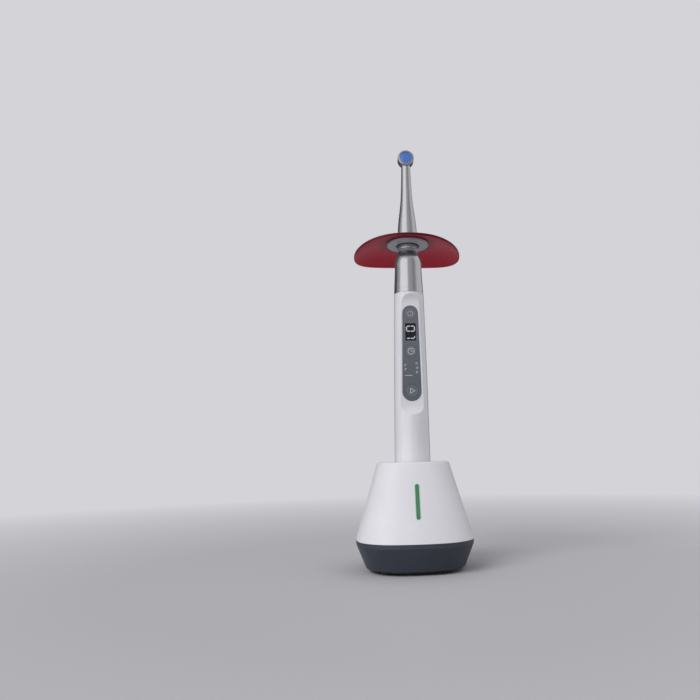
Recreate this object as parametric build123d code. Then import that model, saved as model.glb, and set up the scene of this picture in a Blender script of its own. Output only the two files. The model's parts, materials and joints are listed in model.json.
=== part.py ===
from build123d import *
import os
from math import asin, atan, cos, radians, sin, sqrt

# A pen-shaped dental curing light that stands in its charging base.
# Millimetres, +Z up, the key panel and the light bar face -Y.
# The origin is the middle of the base, in the plane that the feet stand on.

# Clearances
seat_gap = 0.05
key_gap = 0.15
part_gap = 0.2
lift_gap = 0.3
running_gap = 0.05

# Charging base: outlines are a half width, a corner length and a bow of the side
seam_half = 36.8
seam_corner = 22.9
seam_bow = 1.2
top_half = 23.0
top_corner = 14.3
top_bow = 0.8
low_half = 31.2
low_corner = 19.4
low_bow = 1.0
plinth_half = 25.6
plinth_corner = 15.8
plinth_bow = 0.9

# Charging base: heights and walls
foot_lift = 0.9
plinth_height = 1.7
taper_height = 13.5
band_height = 2.6
cover_height = 47.0
cover_wall = 2.2
cover_top = 2.4
cover_edge_radius = 1.6
tray_wall = 2.2
tray_floor = 2.4
lip_thickness = 1.2
lip_height = 2.0
well_rim_radius = 0.8

# Light bar in the front of the base
bar_length = 21.0
bar_width = 2.3
bar_height = 23.7
bar_inner_length = 0.9
light_board_width = 5.0
light_board_margin = 4.5
light_board_thickness = 1.2
light_post_radius = 1.6
led_size = 1.9
led_height = 1.4
led_pitch = 6.0
led_count = 3

# Feet and base screws
foot_radius = 4.5
foot_thickness = 2.1
foot_edge = 0.4
foot_offset = 17.5
screw_head_radius = 2.75
screw_head_height = 1.9
screw_shank_radius = 1.5
screw_length = 24.0
post_radius = 3.2
post_height = 12.2
boss_radius = 3.0
boss_top_height = 38.0

# Charging well
well_gap = 0.35
well_wall = 1.5
well_depth = 44.7
well_floor = 2.0
well_flange_width = 2.7
well_flange_height = 1.6
rib_width = 2.4
rib_depth = 1.3
rib_height = 6.0

# Charging pins, their block and the board
pin_spacing = 8.0
pin_radius = 0.9
pin_collar_radius = 1.3
pin_collar_height = 1.5
pin_roof = 1.0
pin_reach = 0.2
block_half_x = 8.0
block_half_y = 4.5
block_height = 7.0
spring_wire = 0.15
spring_pitch = 0.8
board_thickness = 1.6
board_half_x = 14.0
board_front = 14.0
standoff_radius = 2.3
standoff_x = 11.0
standoff_front = 11.0
standoff_back = 17.0
small_screw_radius = 1.0
small_screw_head_radius = 1.9
small_screw_head_height = 1.2
small_screw_length = 4.0
ballast_thickness = 2.8
ballast_half_x = 24.0
ballast_half_y = 13.4

# Power socket at the back
socket_half_width = 3.75
socket_height = 6.0
socket_setback = 5.9
socket_length = 9.0
socket_overhang = 2.5
socket_nose_radius = 2.9
socket_nose_length = 3.5
socket_bore_radius = 2.1
socket_bore_depth = 9.0
socket_pin_radius = 0.65

# Handle
handle_wide_radius = 11.5
handle_low_drop = 0.2
handle_mid_drop = 0.57
handle_top_drop = 1.5
handle_wide_height = 46.7
handle_length = 147.2
handle_wall = 1.7
flat_inset = 3.2
flat_wall = 1.8
flat_margin = 1.9
ramp_low_length = 7.0
ramp_high_length = 6.6
flat_cut_margin = 0.6

# Tail of the handle
tail_height = 7.7
tail_edge_radius = 2.0
tail_spigot_height = 4.6
tail_spigot_gap = 0.15
tail_spigot_wall = 1.6
tail_floor = 2.2
tail_seal_thickness = 0.8
tail_board_thickness = 1.2
pad_size = 3.6
pad_thickness = 0.8
pad_stem_radius = 0.7
groove_gap = 0.4

# Battery
cell_gap = 0.7
cell_button_radius = 2.8
cell_button_height = 1.0
cell_edge_radius = 0.6
battery_spring_height = 5.0
battery_spring_wire = 0.4
battery_spring_radius = 4.6
battery_spring_pitch = 1.9
contact_radius = 4.5
contact_thickness = 0.5

# Key panel
panel_top_margin = 9.3
panel_length = 63.4
panel_low_radius = 6.2
panel_high_radius = 5.15
panel_thickness = 0.9
panel_proud = 0.1
start_key_height = 6.7
timer_key_height = 32.7
power_key_height = 58.0
display_height = 45.5
display_width = 7.0
display_length = 11.6
key_radius = 3.7
start_key_radius = 3.95
key_proud = 0.1
key_travel = 0.35
key_flange_width = 0.6
key_flange_thickness = 0.5
key_stem_radius = 1.5
plunger_radius = 1.2
plunger_length = 1.2
plunger_reach = 0.5
switch_half = 3.0
switch_thickness = 1.7

# Electronics behind the panel
main_board_depth = 4.9
main_board_thickness = 1.4
main_board_inset = 2.9
main_board_low = 1.5
main_board_length = 60.5
module_half_width = 3.3
module_half_length = 5.6
digit_height = 5.2
digit_width = 3.4
digit_pitch = 4.8
segment_gap = 0.12
segment_width = 0.75
digit_thickness = 0.12
chip_size = 6.0
chip_thickness = 1.0
chip_height = 42.0
inductor_radius = 3.0
inductor_thickness = 3.0
inductor_height = 27.0
buzzer_radius = 4.5
buzzer_thickness = 2.4
buzzer_height = 10.0
rivet_height = 20.0
rivet_inset = 1.7
rivet_radius = 0.8
rivet_head_radius = 1.4
rivet_head_thickness = 0.8
rivet_boss_radius = 1.9

# Chassis
chassis_gap = 0.25
chassis_wall = 2.1
chassis_plate = 1.6
chassis_lead = 14.5
contact_socket_radius = 4.0
contact_socket_length = 12.5

# Nose of the handle
nose_seam = 0.1
nose_length = 27.4
nose_low_drop = 0.1
nose_bend_height = 18.0
nose_bend_drop = 0.95
nose_shoulder_height = 24.3
nose_shoulder_drop = 1.55
nose_top_radius = 7.05
nose_hollow_gap = 0.15
nose_spigot_length = 6.0
nose_hollow_height = 15.0
bush_wall = 1.5
bush_length = 11.5
bush_flange = 1.0
ring_height = 3.4
ring_radius = 7.0
ring_groove = 0.35
ring_groove_height = 1.4
swivel_radius = 5.0
swivel_drop = 17.0
clip_height = 1.0
clip_lift = 0.9
clip_width = 1.0
clip_groove = 0.4
clip_gap_width = 3.0

# Light head
collar_height = 4.2
collar_radius = 6.95
collar_chamfer = 0.4
tube_seat_radius = 6.55
tube_seat_height = 7.0
tube_flare_radius = 4.52
tube_flare_height = 28.7
tube_slim_radius = 3.45
tube_slim_height = 46.5
tube_top_radius = 3.1
tube_bore_radius = 2.45
neck_height = 62.8
head_radius = 5.63
head_depth = 8.0
head_front_edge = 0.9
head_back_edge = 2.2
head_cavity_radius = 4.9
head_cavity_depth = 5.75
bezel_length = 1.7
bezel_proud = 0.3
bezel_lip = 0.45
bezel_inner_radius = 4.3
lens_radius = 4.5
lens_thickness = 1.1
lens_crown = 0.6
reflector_length = 3.2
reflector_wall = 0.4
reflector_back_radius = 1.6
led_board_thickness = 1.0
die_size = 0.9
die_pitch = 1.15
die_thickness = 0.45
wire_radius = 0.4
wire_spacing = 3.6
wire_groove_radius = 0.55
heat_rod_length = 43.0
plug_body_radius = 4.2
plug_body_length = 6.0
plug_pin_radius = 1.5
plug_pin_length = 11.5

# Shield
grommet_lift = 0.8
flange_radius = 14.15
flange_thickness = 1.5
upper_flange_radius = 12.0
upper_flange_thickness = 0.9
upper_flange_edge = 0.3
groove_radius = 9.0
grommet_recess_radius = 8.0
grommet_recess_depth = 1.1
grommet_edge = 0.5
plate_thickness = 1.9
plate_flat_radius = 14.5
plate_half_x = 36.8
plate_half_y = 27.0
plate_offset = 8.0
plate_droop = 8.0

# Levels of the base
plinth_z = foot_lift
taper_z = plinth_z + plinth_height
band_z = taper_z + taper_height
seam_z = band_z + band_height
cover_top_z = seam_z + cover_height
floor_z = taper_z + tray_floor
cover_lean = atan((seam_half - top_half) / cover_height)

# Sizes that follow the handle's widest radius
handle_low_radius = handle_wide_radius - handle_low_drop
handle_mid_radius = handle_wide_radius - handle_mid_drop
handle_top_radius = handle_wide_radius - handle_top_drop
nose_low_radius = handle_top_radius - nose_low_drop
nose_bend_radius = handle_top_radius - nose_bend_drop
nose_shoulder_radius = handle_top_radius - nose_shoulder_drop
cell_radius = handle_wide_radius - handle_wall - cell_gap
flat_depth = handle_wide_radius - flat_inset
main_board_front = flat_depth - main_board_depth
main_board_half = handle_wide_radius - handle_wall - main_board_inset
rivet_half_span = main_board_half - rivet_inset

# Levels of the well and its contacts
well_radius = handle_wide_radius + well_gap
well_top_z = cover_top_z - cover_top
well_floor_z = cover_top_z - well_depth
well_low_z = well_floor_z - well_floor
block_low_z = well_low_z - block_height
board_low_z = block_low_z - board_thickness
socket_z = block_low_z + socket_height / 2
socket_back = seam_half - socket_setback
socket_front = socket_back - socket_length
board_back = socket_back - socket_overhang
screw_head_z = foot_thickness + seat_gap
screw_seat_z = screw_head_z + screw_head_height + seat_gap
post_top_z = floor_z + post_height

# Levels of the handpiece
tail_z = well_floor_z + lift_gap
tail_top_z = tail_z + tail_height
handle_low_z = tail_top_z + tail_seal_thickness
handle_top_z = handle_low_z + handle_length
spigot_top_z = tail_top_z + tail_spigot_height
tail_board_z = spigot_top_z
cell_low_z = tail_board_z + tail_board_thickness + battery_spring_height
panel_high_z = handle_top_z - panel_top_margin
panel_low_z = panel_high_z - panel_length
flat_low_z = panel_low_z - flat_margin
flat_high_z = panel_high_z + flat_margin
start_z = panel_low_z + start_key_height
timer_z = panel_low_z + timer_key_height
power_z = panel_low_z + power_key_height
display_z = panel_low_z + display_height
main_board_z = panel_low_z + main_board_low
main_board_top_z = main_board_z + main_board_length
chassis_z = main_board_z - chassis_lead
contact_z = chassis_z - contact_thickness
cell_top_z = contact_z - cell_button_height
nose_z = handle_top_z + nose_seam
nose_top_z = nose_z + nose_length
ring_z = nose_top_z + seat_gap
collar_z = ring_z + ring_height + seat_gap
collar_top_z = collar_z + collar_height
head_z = collar_top_z + neck_height
swivel_low_z = nose_top_z - swivel_drop
plug_low_z = swivel_low_z - plug_body_length
tail_spigot_radius = handle_low_radius - handle_wall - tail_spigot_gap

# Depths of the layers behind the flat of the handle, measured towards the back
panel_back_y = -flat_depth + panel_thickness
ledge_back_y = -flat_depth + flat_wall
board_front_y = -main_board_front
board_back_y = board_front_y + main_board_thickness
switch_front_y = board_front_y - switch_thickness
plunger_front_y = switch_front_y - plunger_length + plunger_reach
led_board_y = -head_depth / 2 + head_cavity_depth - seat_gap - led_board_thickness
reflector_back_y = led_board_y - seat_gap

# Levels of the shield
grommet_z = collar_top_z - grommet_lift
plate_z = grommet_z + flange_thickness + part_gap
upper_flange_z = plate_z + plate_thickness + part_gap
grommet_top_z = upper_flange_z + upper_flange_thickness
grommet_bore_radius = tube_seat_radius + key_gap


def soft_square(half: float, corner: float, bow: float, z: float) -> Sketch:
    """A square outline with bowed sides and round corners, at height z."""
    flat = half - corner
    side = half - bow
    turn = radians(90) - 4 * atan(bow / flat)
    chord = sqrt(2) * (side - flat)
    sagitta = chord / 2 * (1 - cos(turn / 2)) / sin(turn / 2)
    mid = (side + flat) / 2 + sagitta / sqrt(2)
    edges = []
    for quarter in range(4):
        spin = Rotation(0, 0, 90 * quarter)
        edges.append(spin * ThreePointArc((-flat, -side), (0, -half), (flat, -side)))
        edges.append(spin * ThreePointArc((flat, -side), (mid, -mid), (side, -flat)))
    return Pos(0, 0, z) * make_face(Curve() + edges)


def tower(low: Sketch, high: Sketch) -> Part:
    """The straight-sided body between two like outlines."""
    return loft([low, high], ruled=True)


def disc(radius: float, z_low: float, z_high: float, x: float = 0, y: float = 0) -> Part:
    """An upright cylinder between two heights."""
    return Pos(x, y, z_low) * extrude(Circle(radius), z_high - z_low)


def ring(outer: float, inner: float, z_low: float, z_high: float) -> Part:
    """An upright tube between two heights."""
    return disc(outer, z_low, z_high) - disc(inner, z_low, z_high)


def block(x: tuple, y: tuple, z: tuple) -> Part:
    """A box between two corners, each axis given as low and high."""
    size = Box(x[1] - x[0], y[1] - y[0], z[1] - z[0], align=(Align.MIN, Align.MIN, Align.MIN))
    return Pos(x[0], y[0], z[0]) * size


def drum(radius: float, y_low: float, y_high: float, x: float = 0, z: float = 0) -> Part:
    """A cylinder along Y between two depths."""
    face = Pos(x, y_low, z) * Rotation(-90, 0, 0) * Circle(radius)
    return extrude(face, y_high - y_low, (0, 1, 0))


def turned(*edges: Edge) -> Part:
    """A body of revolution about Z from a closed outline in the XZ plane."""
    return revolve(make_face(Plane.XZ * (Curve() + list(edges))), Axis.Z)


def chain(*points: tuple) -> list:
    """Straight edges through a row of points."""
    return [Line(a, b) for a, b in zip(points, points[1:])]


def tapered_slot(low_z: float, low_radius: float, high_z: float, high_radius: float) -> Face:
    """An upright slot outline whose round ends have their own radii."""
    lean = asin((low_radius - high_radius) / (high_z - low_z))
    across, along = cos(lean), sin(lean)
    low_right = (low_radius * across, low_z + low_radius * along)
    high_right = (high_radius * across, high_z + high_radius * along)
    low_left = (-low_right[0], low_right[1])
    high_left = (-high_right[0], high_right[1])
    return make_face(Curve() + [
        Line(low_right, high_right),
        ThreePointArc(high_right, (0, high_z + high_radius), high_left),
        Line(high_left, low_left),
        ThreePointArc(low_left, (0, low_z - low_radius), low_right),
    ])


def plate_layer(face: Face, y_front: float, y_back: float) -> Part:
    """A face drawn in X and Z, made solid between two depths."""
    return extrude(Plane.XZ.offset(-y_front) * face, y_back - y_front, (0, 1, 0))


def corners(x: float, y: float) -> list:
    """The four mirrored places of a point."""
    return [(sx * x, sy * y) for sx in (-1, 1) for sy in (-1, 1)]


def spring(radius: float, wire: float, pitch: float, z_low: float, z_high: float) -> Part:
    """A helical wire spring about Z, its wire inside the two heights."""
    path = Pos(0, 0, z_low + wire) * Helix(pitch, z_high - z_low - 2 * wire, radius)
    start = Plane(path @ 0, z_dir=path % 0)
    return sweep(start * Circle(wire), path)


# Charging base
def cover_shape(inset: float, z_low: float, z_high: float) -> Part:
    """The leaning body of the cover, drawn in by an inset, between two heights."""
    def outline(z: float) -> Face:
        share = (z - seam_z) / cover_height
        half = seam_half + (top_half - seam_half) * share
        corner = seam_corner + (top_corner - seam_corner) * share
        bow = seam_bow + (top_bow - seam_bow) * share
        return soft_square(half - inset, corner - inset, bow, z)
    return tower(outline(z_low), outline(z_high))


def bar_plane(depth: float) -> Plane:
    """The plane of the leaning front face behind the light bar, at a depth."""
    lean = cover_lean
    face_y = -(seam_half - (seam_half - top_half) * bar_height / cover_height)
    normal = (0, -cos(lean), sin(lean))
    middle = (0, face_y + depth * cos(lean), seam_z + bar_height - depth * sin(lean))
    return Plane(middle, x_dir=(1, 0, 0), z_dir=normal)


def on_bar(face: Face, depth: float, thickness: float) -> Part:
    """A face on the leaning front, made solid inwards from a depth."""
    return extrude(bar_plane(depth) * face, -thickness)


def bar_outline(extra: float) -> Face:
    """The upright slot of the light bar, grown all round."""
    return Rotation(0, 0, 90) * SlotOverall(bar_length + 2 * extra, bar_width + 2 * extra)


board_setback = cover_wall + bar_inner_length + led_height + part_gap
light_post_span = bar_length / 2 + light_board_margin / 2

cover_outer = cover_shape(0, seam_z, cover_top_z)
cover_outer = fillet(cover_outer.faces().sort_by(Axis.Z)[-1].edges(), cover_edge_radius)
base_cover = cover_outer - cover_shape(cover_wall, seam_z, well_top_z)
base_cover -= disc(well_radius, well_top_z, cover_top_z)
base_cover = fillet(
    base_cover.edges().filter_by(GeomType.CIRCLE).group_by(Axis.Z)[-1], well_rim_radius
)
boss_low_z = post_top_z + part_gap
boss_top_z = seam_z + boss_top_height
boss_room = cover_outer + cover_shape(0, boss_low_z, seam_z)
for x, y in corners(foot_offset, foot_offset):
    base_cover += disc(boss_radius, boss_low_z, boss_top_z, x, y) & boss_room
    base_cover -= disc(screw_shank_radius + seat_gap, boss_low_z,
                       screw_seat_z + screw_length + part_gap, x, y)
for side in (-1, 1):
    post = Pos(0, side * light_post_span) * Circle(light_post_radius)
    base_cover += on_bar(post, cover_wall / 2, board_setback - cover_wall / 2)
base_cover -= on_bar(bar_outline(seat_gap), -cover_wall, cover_wall * 3)

bar_depth = cover_wall + bar_inner_length
light_bar = on_bar(bar_outline(0), 0, bar_depth)
indicator_board = on_bar(
    Rectangle(light_board_width, bar_length + 2 * light_board_margin),
    board_setback, light_board_thickness,
)
led_places = [(step - (led_count - 1) / 2) * led_pitch for step in range(led_count)]
indicator_leds = Part() + [
    on_bar(Pos(0, place) * Rectangle(led_size, led_size), board_setback - led_height, led_height)
    for place in led_places
]

tray_low = soft_square(low_half, low_corner, low_bow, taper_z)
tray_band = soft_square(seam_half, seam_corner, seam_bow, band_z)
tray_rim = soft_square(seam_half, seam_corner, seam_bow, seam_z - seat_gap)
base_tray = tower(tray_low, tray_band) + tower(tray_band, tray_rim)
base_tray += tower(
    soft_square(plinth_half, plinth_corner, plinth_bow, plinth_z),
    soft_square(plinth_half, plinth_corner, plinth_bow, taper_z),
)
lip_inset = cover_wall + part_gap
base_tray += cover_shape(lip_inset, seam_z - seat_gap, seam_z + lip_height)
hollow_inset = lip_inset + lip_thickness
hollow_low = soft_square(low_half - tray_wall, low_corner - tray_wall, low_bow, floor_z)
hollow_band = soft_square(seam_half - hollow_inset, seam_corner - hollow_inset, seam_bow, band_z)
hollow_seam = soft_square(seam_half - hollow_inset, seam_corner - hollow_inset, seam_bow, seam_z)
base_tray -= tower(hollow_low, hollow_band) + tower(hollow_band, hollow_seam)
base_tray -= cover_shape(hollow_inset, seam_z, seam_z + lip_height)
for x, y in corners(foot_offset, foot_offset):
    base_tray += disc(post_radius, floor_z, post_top_z, x, y)
    base_tray -= disc(foot_radius + seat_gap, plinth_z, foot_thickness, x, y)
    base_tray -= disc(screw_head_radius + seat_gap, foot_thickness, screw_seat_z, x, y)
    base_tray -= disc(screw_shank_radius + seat_gap, foot_thickness, post_top_z, x, y)
standoffs = [(side * standoff_x, y) for side in (-1, 1) for y in (-standoff_front, standoff_back)]
for x, y in standoffs:
    base_tray += disc(standoff_radius, floor_z, board_low_z, x, y)
    base_tray -= disc(small_screw_radius + seat_gap, board_low_z - small_screw_length,
                      board_low_z, x, y)
base_tray -= drum(socket_nose_radius + part_gap, socket_front, seam_half + cover_wall, 0, socket_z)

foot = fillet(disc(foot_radius, 0, foot_thickness).edges().sort_by(Axis.Z)[0], foot_edge)
rubber_feet = Part() + [Pos(x, y) * foot for x, y in corners(foot_offset, foot_offset)]
tray_screw = disc(screw_head_radius, screw_head_z, screw_head_z + screw_head_height)
tray_screw += disc(screw_shank_radius, screw_head_z, screw_head_z + screw_length)
tray_screw -= disc(screw_shank_radius * 2 / 3, screw_head_z, screw_head_z + screw_head_height / 2)
tray_screws = Part() + [Pos(x, y) * tray_screw for x, y in corners(foot_offset, foot_offset)]

ballast_plate = block((-ballast_half_x, ballast_half_x), (-ballast_half_y, ballast_half_y),
                      (floor_z, floor_z + ballast_thickness))
for x, y in standoffs:
    ballast_plate -= disc(standoff_radius + part_gap, floor_z, floor_z + ballast_thickness, x, y)

well_outer = well_radius + well_wall
charging_well = disc(well_outer, well_low_z, well_top_z)
charging_well += disc(well_outer + well_flange_width, well_top_z - well_flange_height, well_top_z)
charging_well -= disc(well_radius, well_floor_z, well_top_z)
charging_well += block((-rib_width / 2, rib_width / 2), (well_radius - rib_depth, well_radius + seat_gap),
                       (well_floor_z, well_floor_z + rib_height))
pin_places = (-pin_spacing / 2, pin_spacing / 2)
for x in pin_places:
    charging_well -= disc(pin_radius + key_gap, well_low_z, well_floor_z, x)

pin_block = block((-block_half_x, block_half_x), (-block_half_y, block_half_y),
                  (block_low_z, well_low_z))
for x in pin_places:
    pin_block -= disc(pin_collar_radius + key_gap, block_low_z, well_low_z - pin_roof, x)
    pin_block -= disc(pin_radius + key_gap, block_low_z, well_low_z, x)

charge_board = block((-board_half_x, board_half_x), (-board_front, board_back),
                     (board_low_z, block_low_z))
for x, y in standoffs:
    charge_board -= disc(small_screw_radius + seat_gap, board_low_z, block_low_z, x, y)
board_screw = disc(small_screw_head_radius, block_low_z, block_low_z + small_screw_head_height)
board_screw += disc(small_screw_radius, board_low_z - small_screw_length + part_gap, block_low_z)
board_screws = Part() + [Pos(x, y) * board_screw for x, y in standoffs]

pin_top_z = tail_z - pin_reach
collar_roof_z = well_low_z - pin_roof - part_gap / 2
charge_pin = disc(pin_radius, collar_roof_z - pin_collar_height, pin_top_z)
charge_pin = fillet(charge_pin.edges().sort_by(Axis.Z)[-1], pin_radius / 2)
charge_pin += disc(pin_collar_radius, collar_roof_z - pin_collar_height, collar_roof_z)
pin_spring = spring(pin_collar_radius - 2 * spring_wire, spring_wire, spring_pitch,
                    block_low_z + seat_gap, collar_roof_z - pin_collar_height - seat_gap)

power_socket = block((-socket_half_width, socket_half_width), (socket_front, socket_back),
                     (block_low_z, block_low_z + socket_height))
nose_end = socket_back + socket_nose_length
power_socket += drum(socket_nose_radius, socket_back, nose_end, 0, socket_z)
power_socket -= drum(socket_bore_radius, nose_end - socket_bore_depth, nose_end, 0, socket_z)
power_socket += drum(socket_pin_radius, nose_end - socket_bore_depth, nose_end - part_gap, 0, socket_z)


# Handle
def barrel(inset: float, z_low: float, z_high: float) -> Part:
    """The round body of the handle, drawn in by an inset, between two heights."""
    wide_z = tail_z + handle_wide_height
    mid_z = (wide_z + handle_top_z) / 2
    low = (handle_low_radius - inset, handle_low_z)
    wide = (handle_wide_radius - inset, wide_z)
    mid = (handle_mid_radius - inset, mid_z)
    top = (handle_top_radius - inset, handle_top_z)
    body = turned(*chain((0, top[1]), (0, low[1]), low, wide), ThreePointArc(wide, mid, top),
                  Line(top, (0, top[1])))
    slab = disc(handle_wide_radius + cover_wall, z_low, z_high)
    return body & slab


def flat_cutter(depth: float, grow: float) -> Part:
    """What lies in front of the flat of the handle, with its two curved run-outs."""
    front = -(handle_wide_radius + flat_cut_margin)
    low = (-depth, flat_low_z - grow)
    high = (-depth, flat_high_z + grow)
    low_end = (front + handle_wide_radius - handle_mid_radius, low[1] - ramp_low_length)
    high_end = (front + handle_wide_radius - handle_top_radius, high[1] + ramp_high_length)
    profile = Curve() + [
        Line(low, high),
        TangentArc(high, high_end, tangent=(0, 1)),
        Line(high_end, (front * 2, high_end[1])),
        Line((front * 2, high_end[1]), (front * 2, low_end[1])),
        Line((front * 2, low_end[1]), low_end),
        TangentArc(low, low_end, tangent=(0, -1)),
    ]
    face = Plane.YZ * make_face(profile)
    return extrude(face, handle_wide_radius * 2, both=True)


def inner_room(inset: float, z_low: float, z_high: float) -> Part:
    """The space inside the handle, drawn in by an inset, between two heights."""
    return barrel(handle_wall + inset, z_low, z_high) - flat_cutter(flat_depth - flat_wall - inset, inset)


panel_face = tapered_slot(panel_low_z + panel_low_radius, panel_low_radius,
                          panel_high_z - panel_high_radius, panel_high_radius)
recess_face = tapered_slot(panel_low_z + panel_low_radius, panel_low_radius + seat_gap,
                           panel_high_z - panel_high_radius, panel_high_radius + seat_gap)
keys = {
    "power": (power_z, key_radius),
    "timer": (timer_z, key_radius),
    "start": (start_z, start_key_radius),
}

handle_shell = barrel(0, handle_low_z, handle_top_z) - flat_cutter(flat_depth, 0)
handle_shell -= inner_room(0, handle_low_z, handle_top_z)
handle_shell -= plate_layer(recess_face, -handle_wide_radius, panel_back_y)
for key_z, radius in keys.values():
    hole_radius = radius + key_flange_width + part_gap
    handle_shell -= drum(hole_radius, panel_back_y, ledge_back_y, 0, key_z)
display_hole = Pos(0, display_z) * Rectangle(display_width + part_gap, display_length + part_gap)
handle_shell -= plate_layer(display_hole, panel_back_y, ledge_back_y)

key_panel = plate_layer(panel_face, -flat_depth - panel_proud, panel_back_y)
for key_z, radius in keys.values():
    key_panel -= drum(radius + key_gap, -handle_wide_radius, panel_back_y, 0, key_z)
window_face = Pos(0, display_z) * Rectangle(display_width, display_length)
window_hole = Pos(0, display_z) * Rectangle(display_width + seat_gap, display_length + seat_gap)
key_panel -= plate_layer(window_hole, -handle_wide_radius, panel_back_y)
display_window = plate_layer(window_face, -flat_depth - panel_proud, panel_back_y)


def key_cap(key_z: float, radius: float) -> Part:
    """A round key with its hidden flange and stem."""
    flange_front = panel_back_y + seat_gap
    cap = drum(radius, -flat_depth - panel_proud - key_proud, flange_front, 0, key_z)
    cap = fillet(cap.edges().sort_by(Axis.Y)[0], key_proud)
    cap += drum(radius + key_flange_width, flange_front, flange_front + key_flange_thickness, 0, key_z)
    return cap + drum(key_stem_radius, flange_front, plunger_front_y, 0, key_z)


def switch_plunger(key_z: float) -> Part:
    """The small button of the switch under a key."""
    return drum(plunger_radius, plunger_front_y, plunger_front_y + plunger_length, 0, key_z)


def switch_body(key_z: float) -> Part:
    """A square press switch with a well for its plunger."""
    body = block((-switch_half, switch_half), (switch_front_y, board_front_y),
                 (key_z - switch_half, key_z + switch_half))
    depth = plunger_reach + key_travel + part_gap
    return body - drum(plunger_radius + seat_gap, switch_front_y, switch_front_y + depth, 0, key_z)


key_switches = Part() + [switch_body(key_z) for key_z, radius in keys.values()]
module_front_y = panel_back_y + part_gap + digit_thickness
display_module = block((-module_half_width, module_half_width), (module_front_y, board_front_y),
                       (display_z - module_half_length, display_z + module_half_length))


def bar_segment(x: float, z: float, length: float, upright: bool) -> Part:
    """One lit segment of a digit, a flat bar with pointed ends."""
    half, side = length / 2 - segment_gap, segment_width / 2
    outline = Polyline((-half, 0), (side - half, side), (half - side, side), (half, 0),
                       (half - side, -side), (side - half, -side), close=True)
    turn = 90 if upright else 0
    face = Pos(x, z) * Rotation(0, 0, turn) * make_face(outline)
    return plate_layer(face, module_front_y - digit_thickness, module_front_y)


def digit(middle_z: float, rungs: tuple, rails: tuple) -> list:
    """A digit that lies on its side: rungs run along Z, rails run along X."""
    half_w, half_h = digit_width / 2, digit_height / 2
    parts = [bar_segment(rung * half_h, middle_z, digit_width, True) for rung in rungs]
    parts += [
        bar_segment(place * half_h / 2, middle_z + side * half_w, digit_height / 2, False)
        for side, place in rails
    ]
    return parts


nought = digit(display_z + digit_pitch / 2, (-1, 1), ((-1, -1), (-1, 1), (1, -1), (1, 1)))
one = digit(display_z - digit_pitch / 2, (), ((-1, -1), (-1, 1)))
flag_z = display_z - digit_pitch / 2 - digit_width / 4
one.append(bar_segment(digit_height / 2, flag_z, digit_width / 2, True))
display_digits = Part() + nought + one

main_board = block((-main_board_half, main_board_half), (board_front_y, board_back_y),
                   (main_board_z, main_board_top_z))
rivet_z = panel_low_z + rivet_height
rivet_places = (-rivet_half_span, rivet_half_span)
chassis = inner_room(chassis_gap, chassis_z, main_board_top_z + chassis_plate)
trough = inner_room(chassis_gap + chassis_wall, chassis_z + chassis_plate, main_board_top_z)
chassis -= trough + block((-handle_wide_radius, handle_wide_radius),
                          (-handle_wide_radius, board_back_y),
                          (chassis_z + chassis_plate, main_board_top_z + seat_gap))
board_rivets = []
for x in rivet_places:
    boss = drum(rivet_boss_radius, board_back_y, handle_top_radius, x, rivet_z)
    chassis += boss & inner_room(chassis_gap, chassis_z, main_board_top_z)
    hole = drum(rivet_radius + seat_gap, board_front_y, board_back_y + rivet_boss_radius, x, rivet_z)
    chassis -= hole
    main_board -= hole
    rivet = drum(rivet_radius, board_front_y, board_back_y + rivet_boss_radius - part_gap, x, rivet_z)
    head_y = board_front_y - rivet_head_thickness
    board_rivets.append(rivet + drum(rivet_head_radius, head_y, board_front_y, x, rivet_z))
board_rivets = Part() + board_rivets

chip_z = panel_low_z + chip_height
processor_chip = block((-chip_size / 2, chip_size / 2), (board_back_y, board_back_y + chip_thickness),
                       (chip_z - chip_size / 2, chip_z + chip_size / 2))
drive_inductor = drum(inductor_radius, board_back_y, board_back_y + inductor_thickness, 0,
                      panel_low_z + inductor_height)
buzzer = drum(buzzer_radius, board_back_y, board_back_y + buzzer_thickness, 0,
              panel_low_z + buzzer_height)

contact_socket_z = main_board_top_z + chassis_plate
contact_socket = disc(contact_socket_radius, contact_socket_z, contact_socket_z + contact_socket_length)
contact_socket -= disc(plug_pin_radius + running_gap, contact_socket_z + chassis_plate,
                       contact_socket_z + contact_socket_length)

# Battery and tail
tail_cap = disc(handle_low_radius, tail_z, tail_top_z)
tail_cap = fillet(tail_cap.edges().sort_by(Axis.Z)[0], tail_edge_radius)
tail_cap += disc(tail_spigot_radius, tail_top_z, spigot_top_z)
tail_cap -= disc(tail_spigot_radius - tail_spigot_wall, tail_z + tail_floor, spigot_top_z)
groove_half = rib_width / 2 + groove_gap
tail_cap -= block((-groove_half, groove_half),
                  (well_radius - rib_depth - groove_gap, handle_wide_radius + well_gap),
                  (tail_z, tail_z + rib_height + groove_gap))
charge_pads = []
for x in pin_places:
    pad = block((x - pad_size / 2, x + pad_size / 2), (-pad_size / 2, pad_size / 2),
                (tail_z, tail_z + pad_thickness))
    tail_cap -= pad + disc(pad_stem_radius, tail_z, tail_z + tail_floor, x)
    charge_pads.append(pad + disc(pad_stem_radius, tail_z, tail_board_z, x))
charge_pads = Part() + charge_pads
tail_seal = ring(handle_low_radius - seat_gap, tail_spigot_radius + seat_gap, tail_top_z, handle_low_z)
tail_board = disc(tail_spigot_radius - seat_gap, tail_board_z, tail_board_z + tail_board_thickness)
battery_spring = spring(battery_spring_radius, battery_spring_wire, battery_spring_pitch,
                        tail_board_z + tail_board_thickness, cell_low_z - seat_gap)
battery_cell = fillet(disc(cell_radius, cell_low_z, cell_top_z).edges(), cell_edge_radius)
battery_cell += disc(cell_button_radius, cell_top_z - cell_edge_radius, contact_z)
cell_contact = disc(contact_radius, contact_z, chassis_z)

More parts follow.
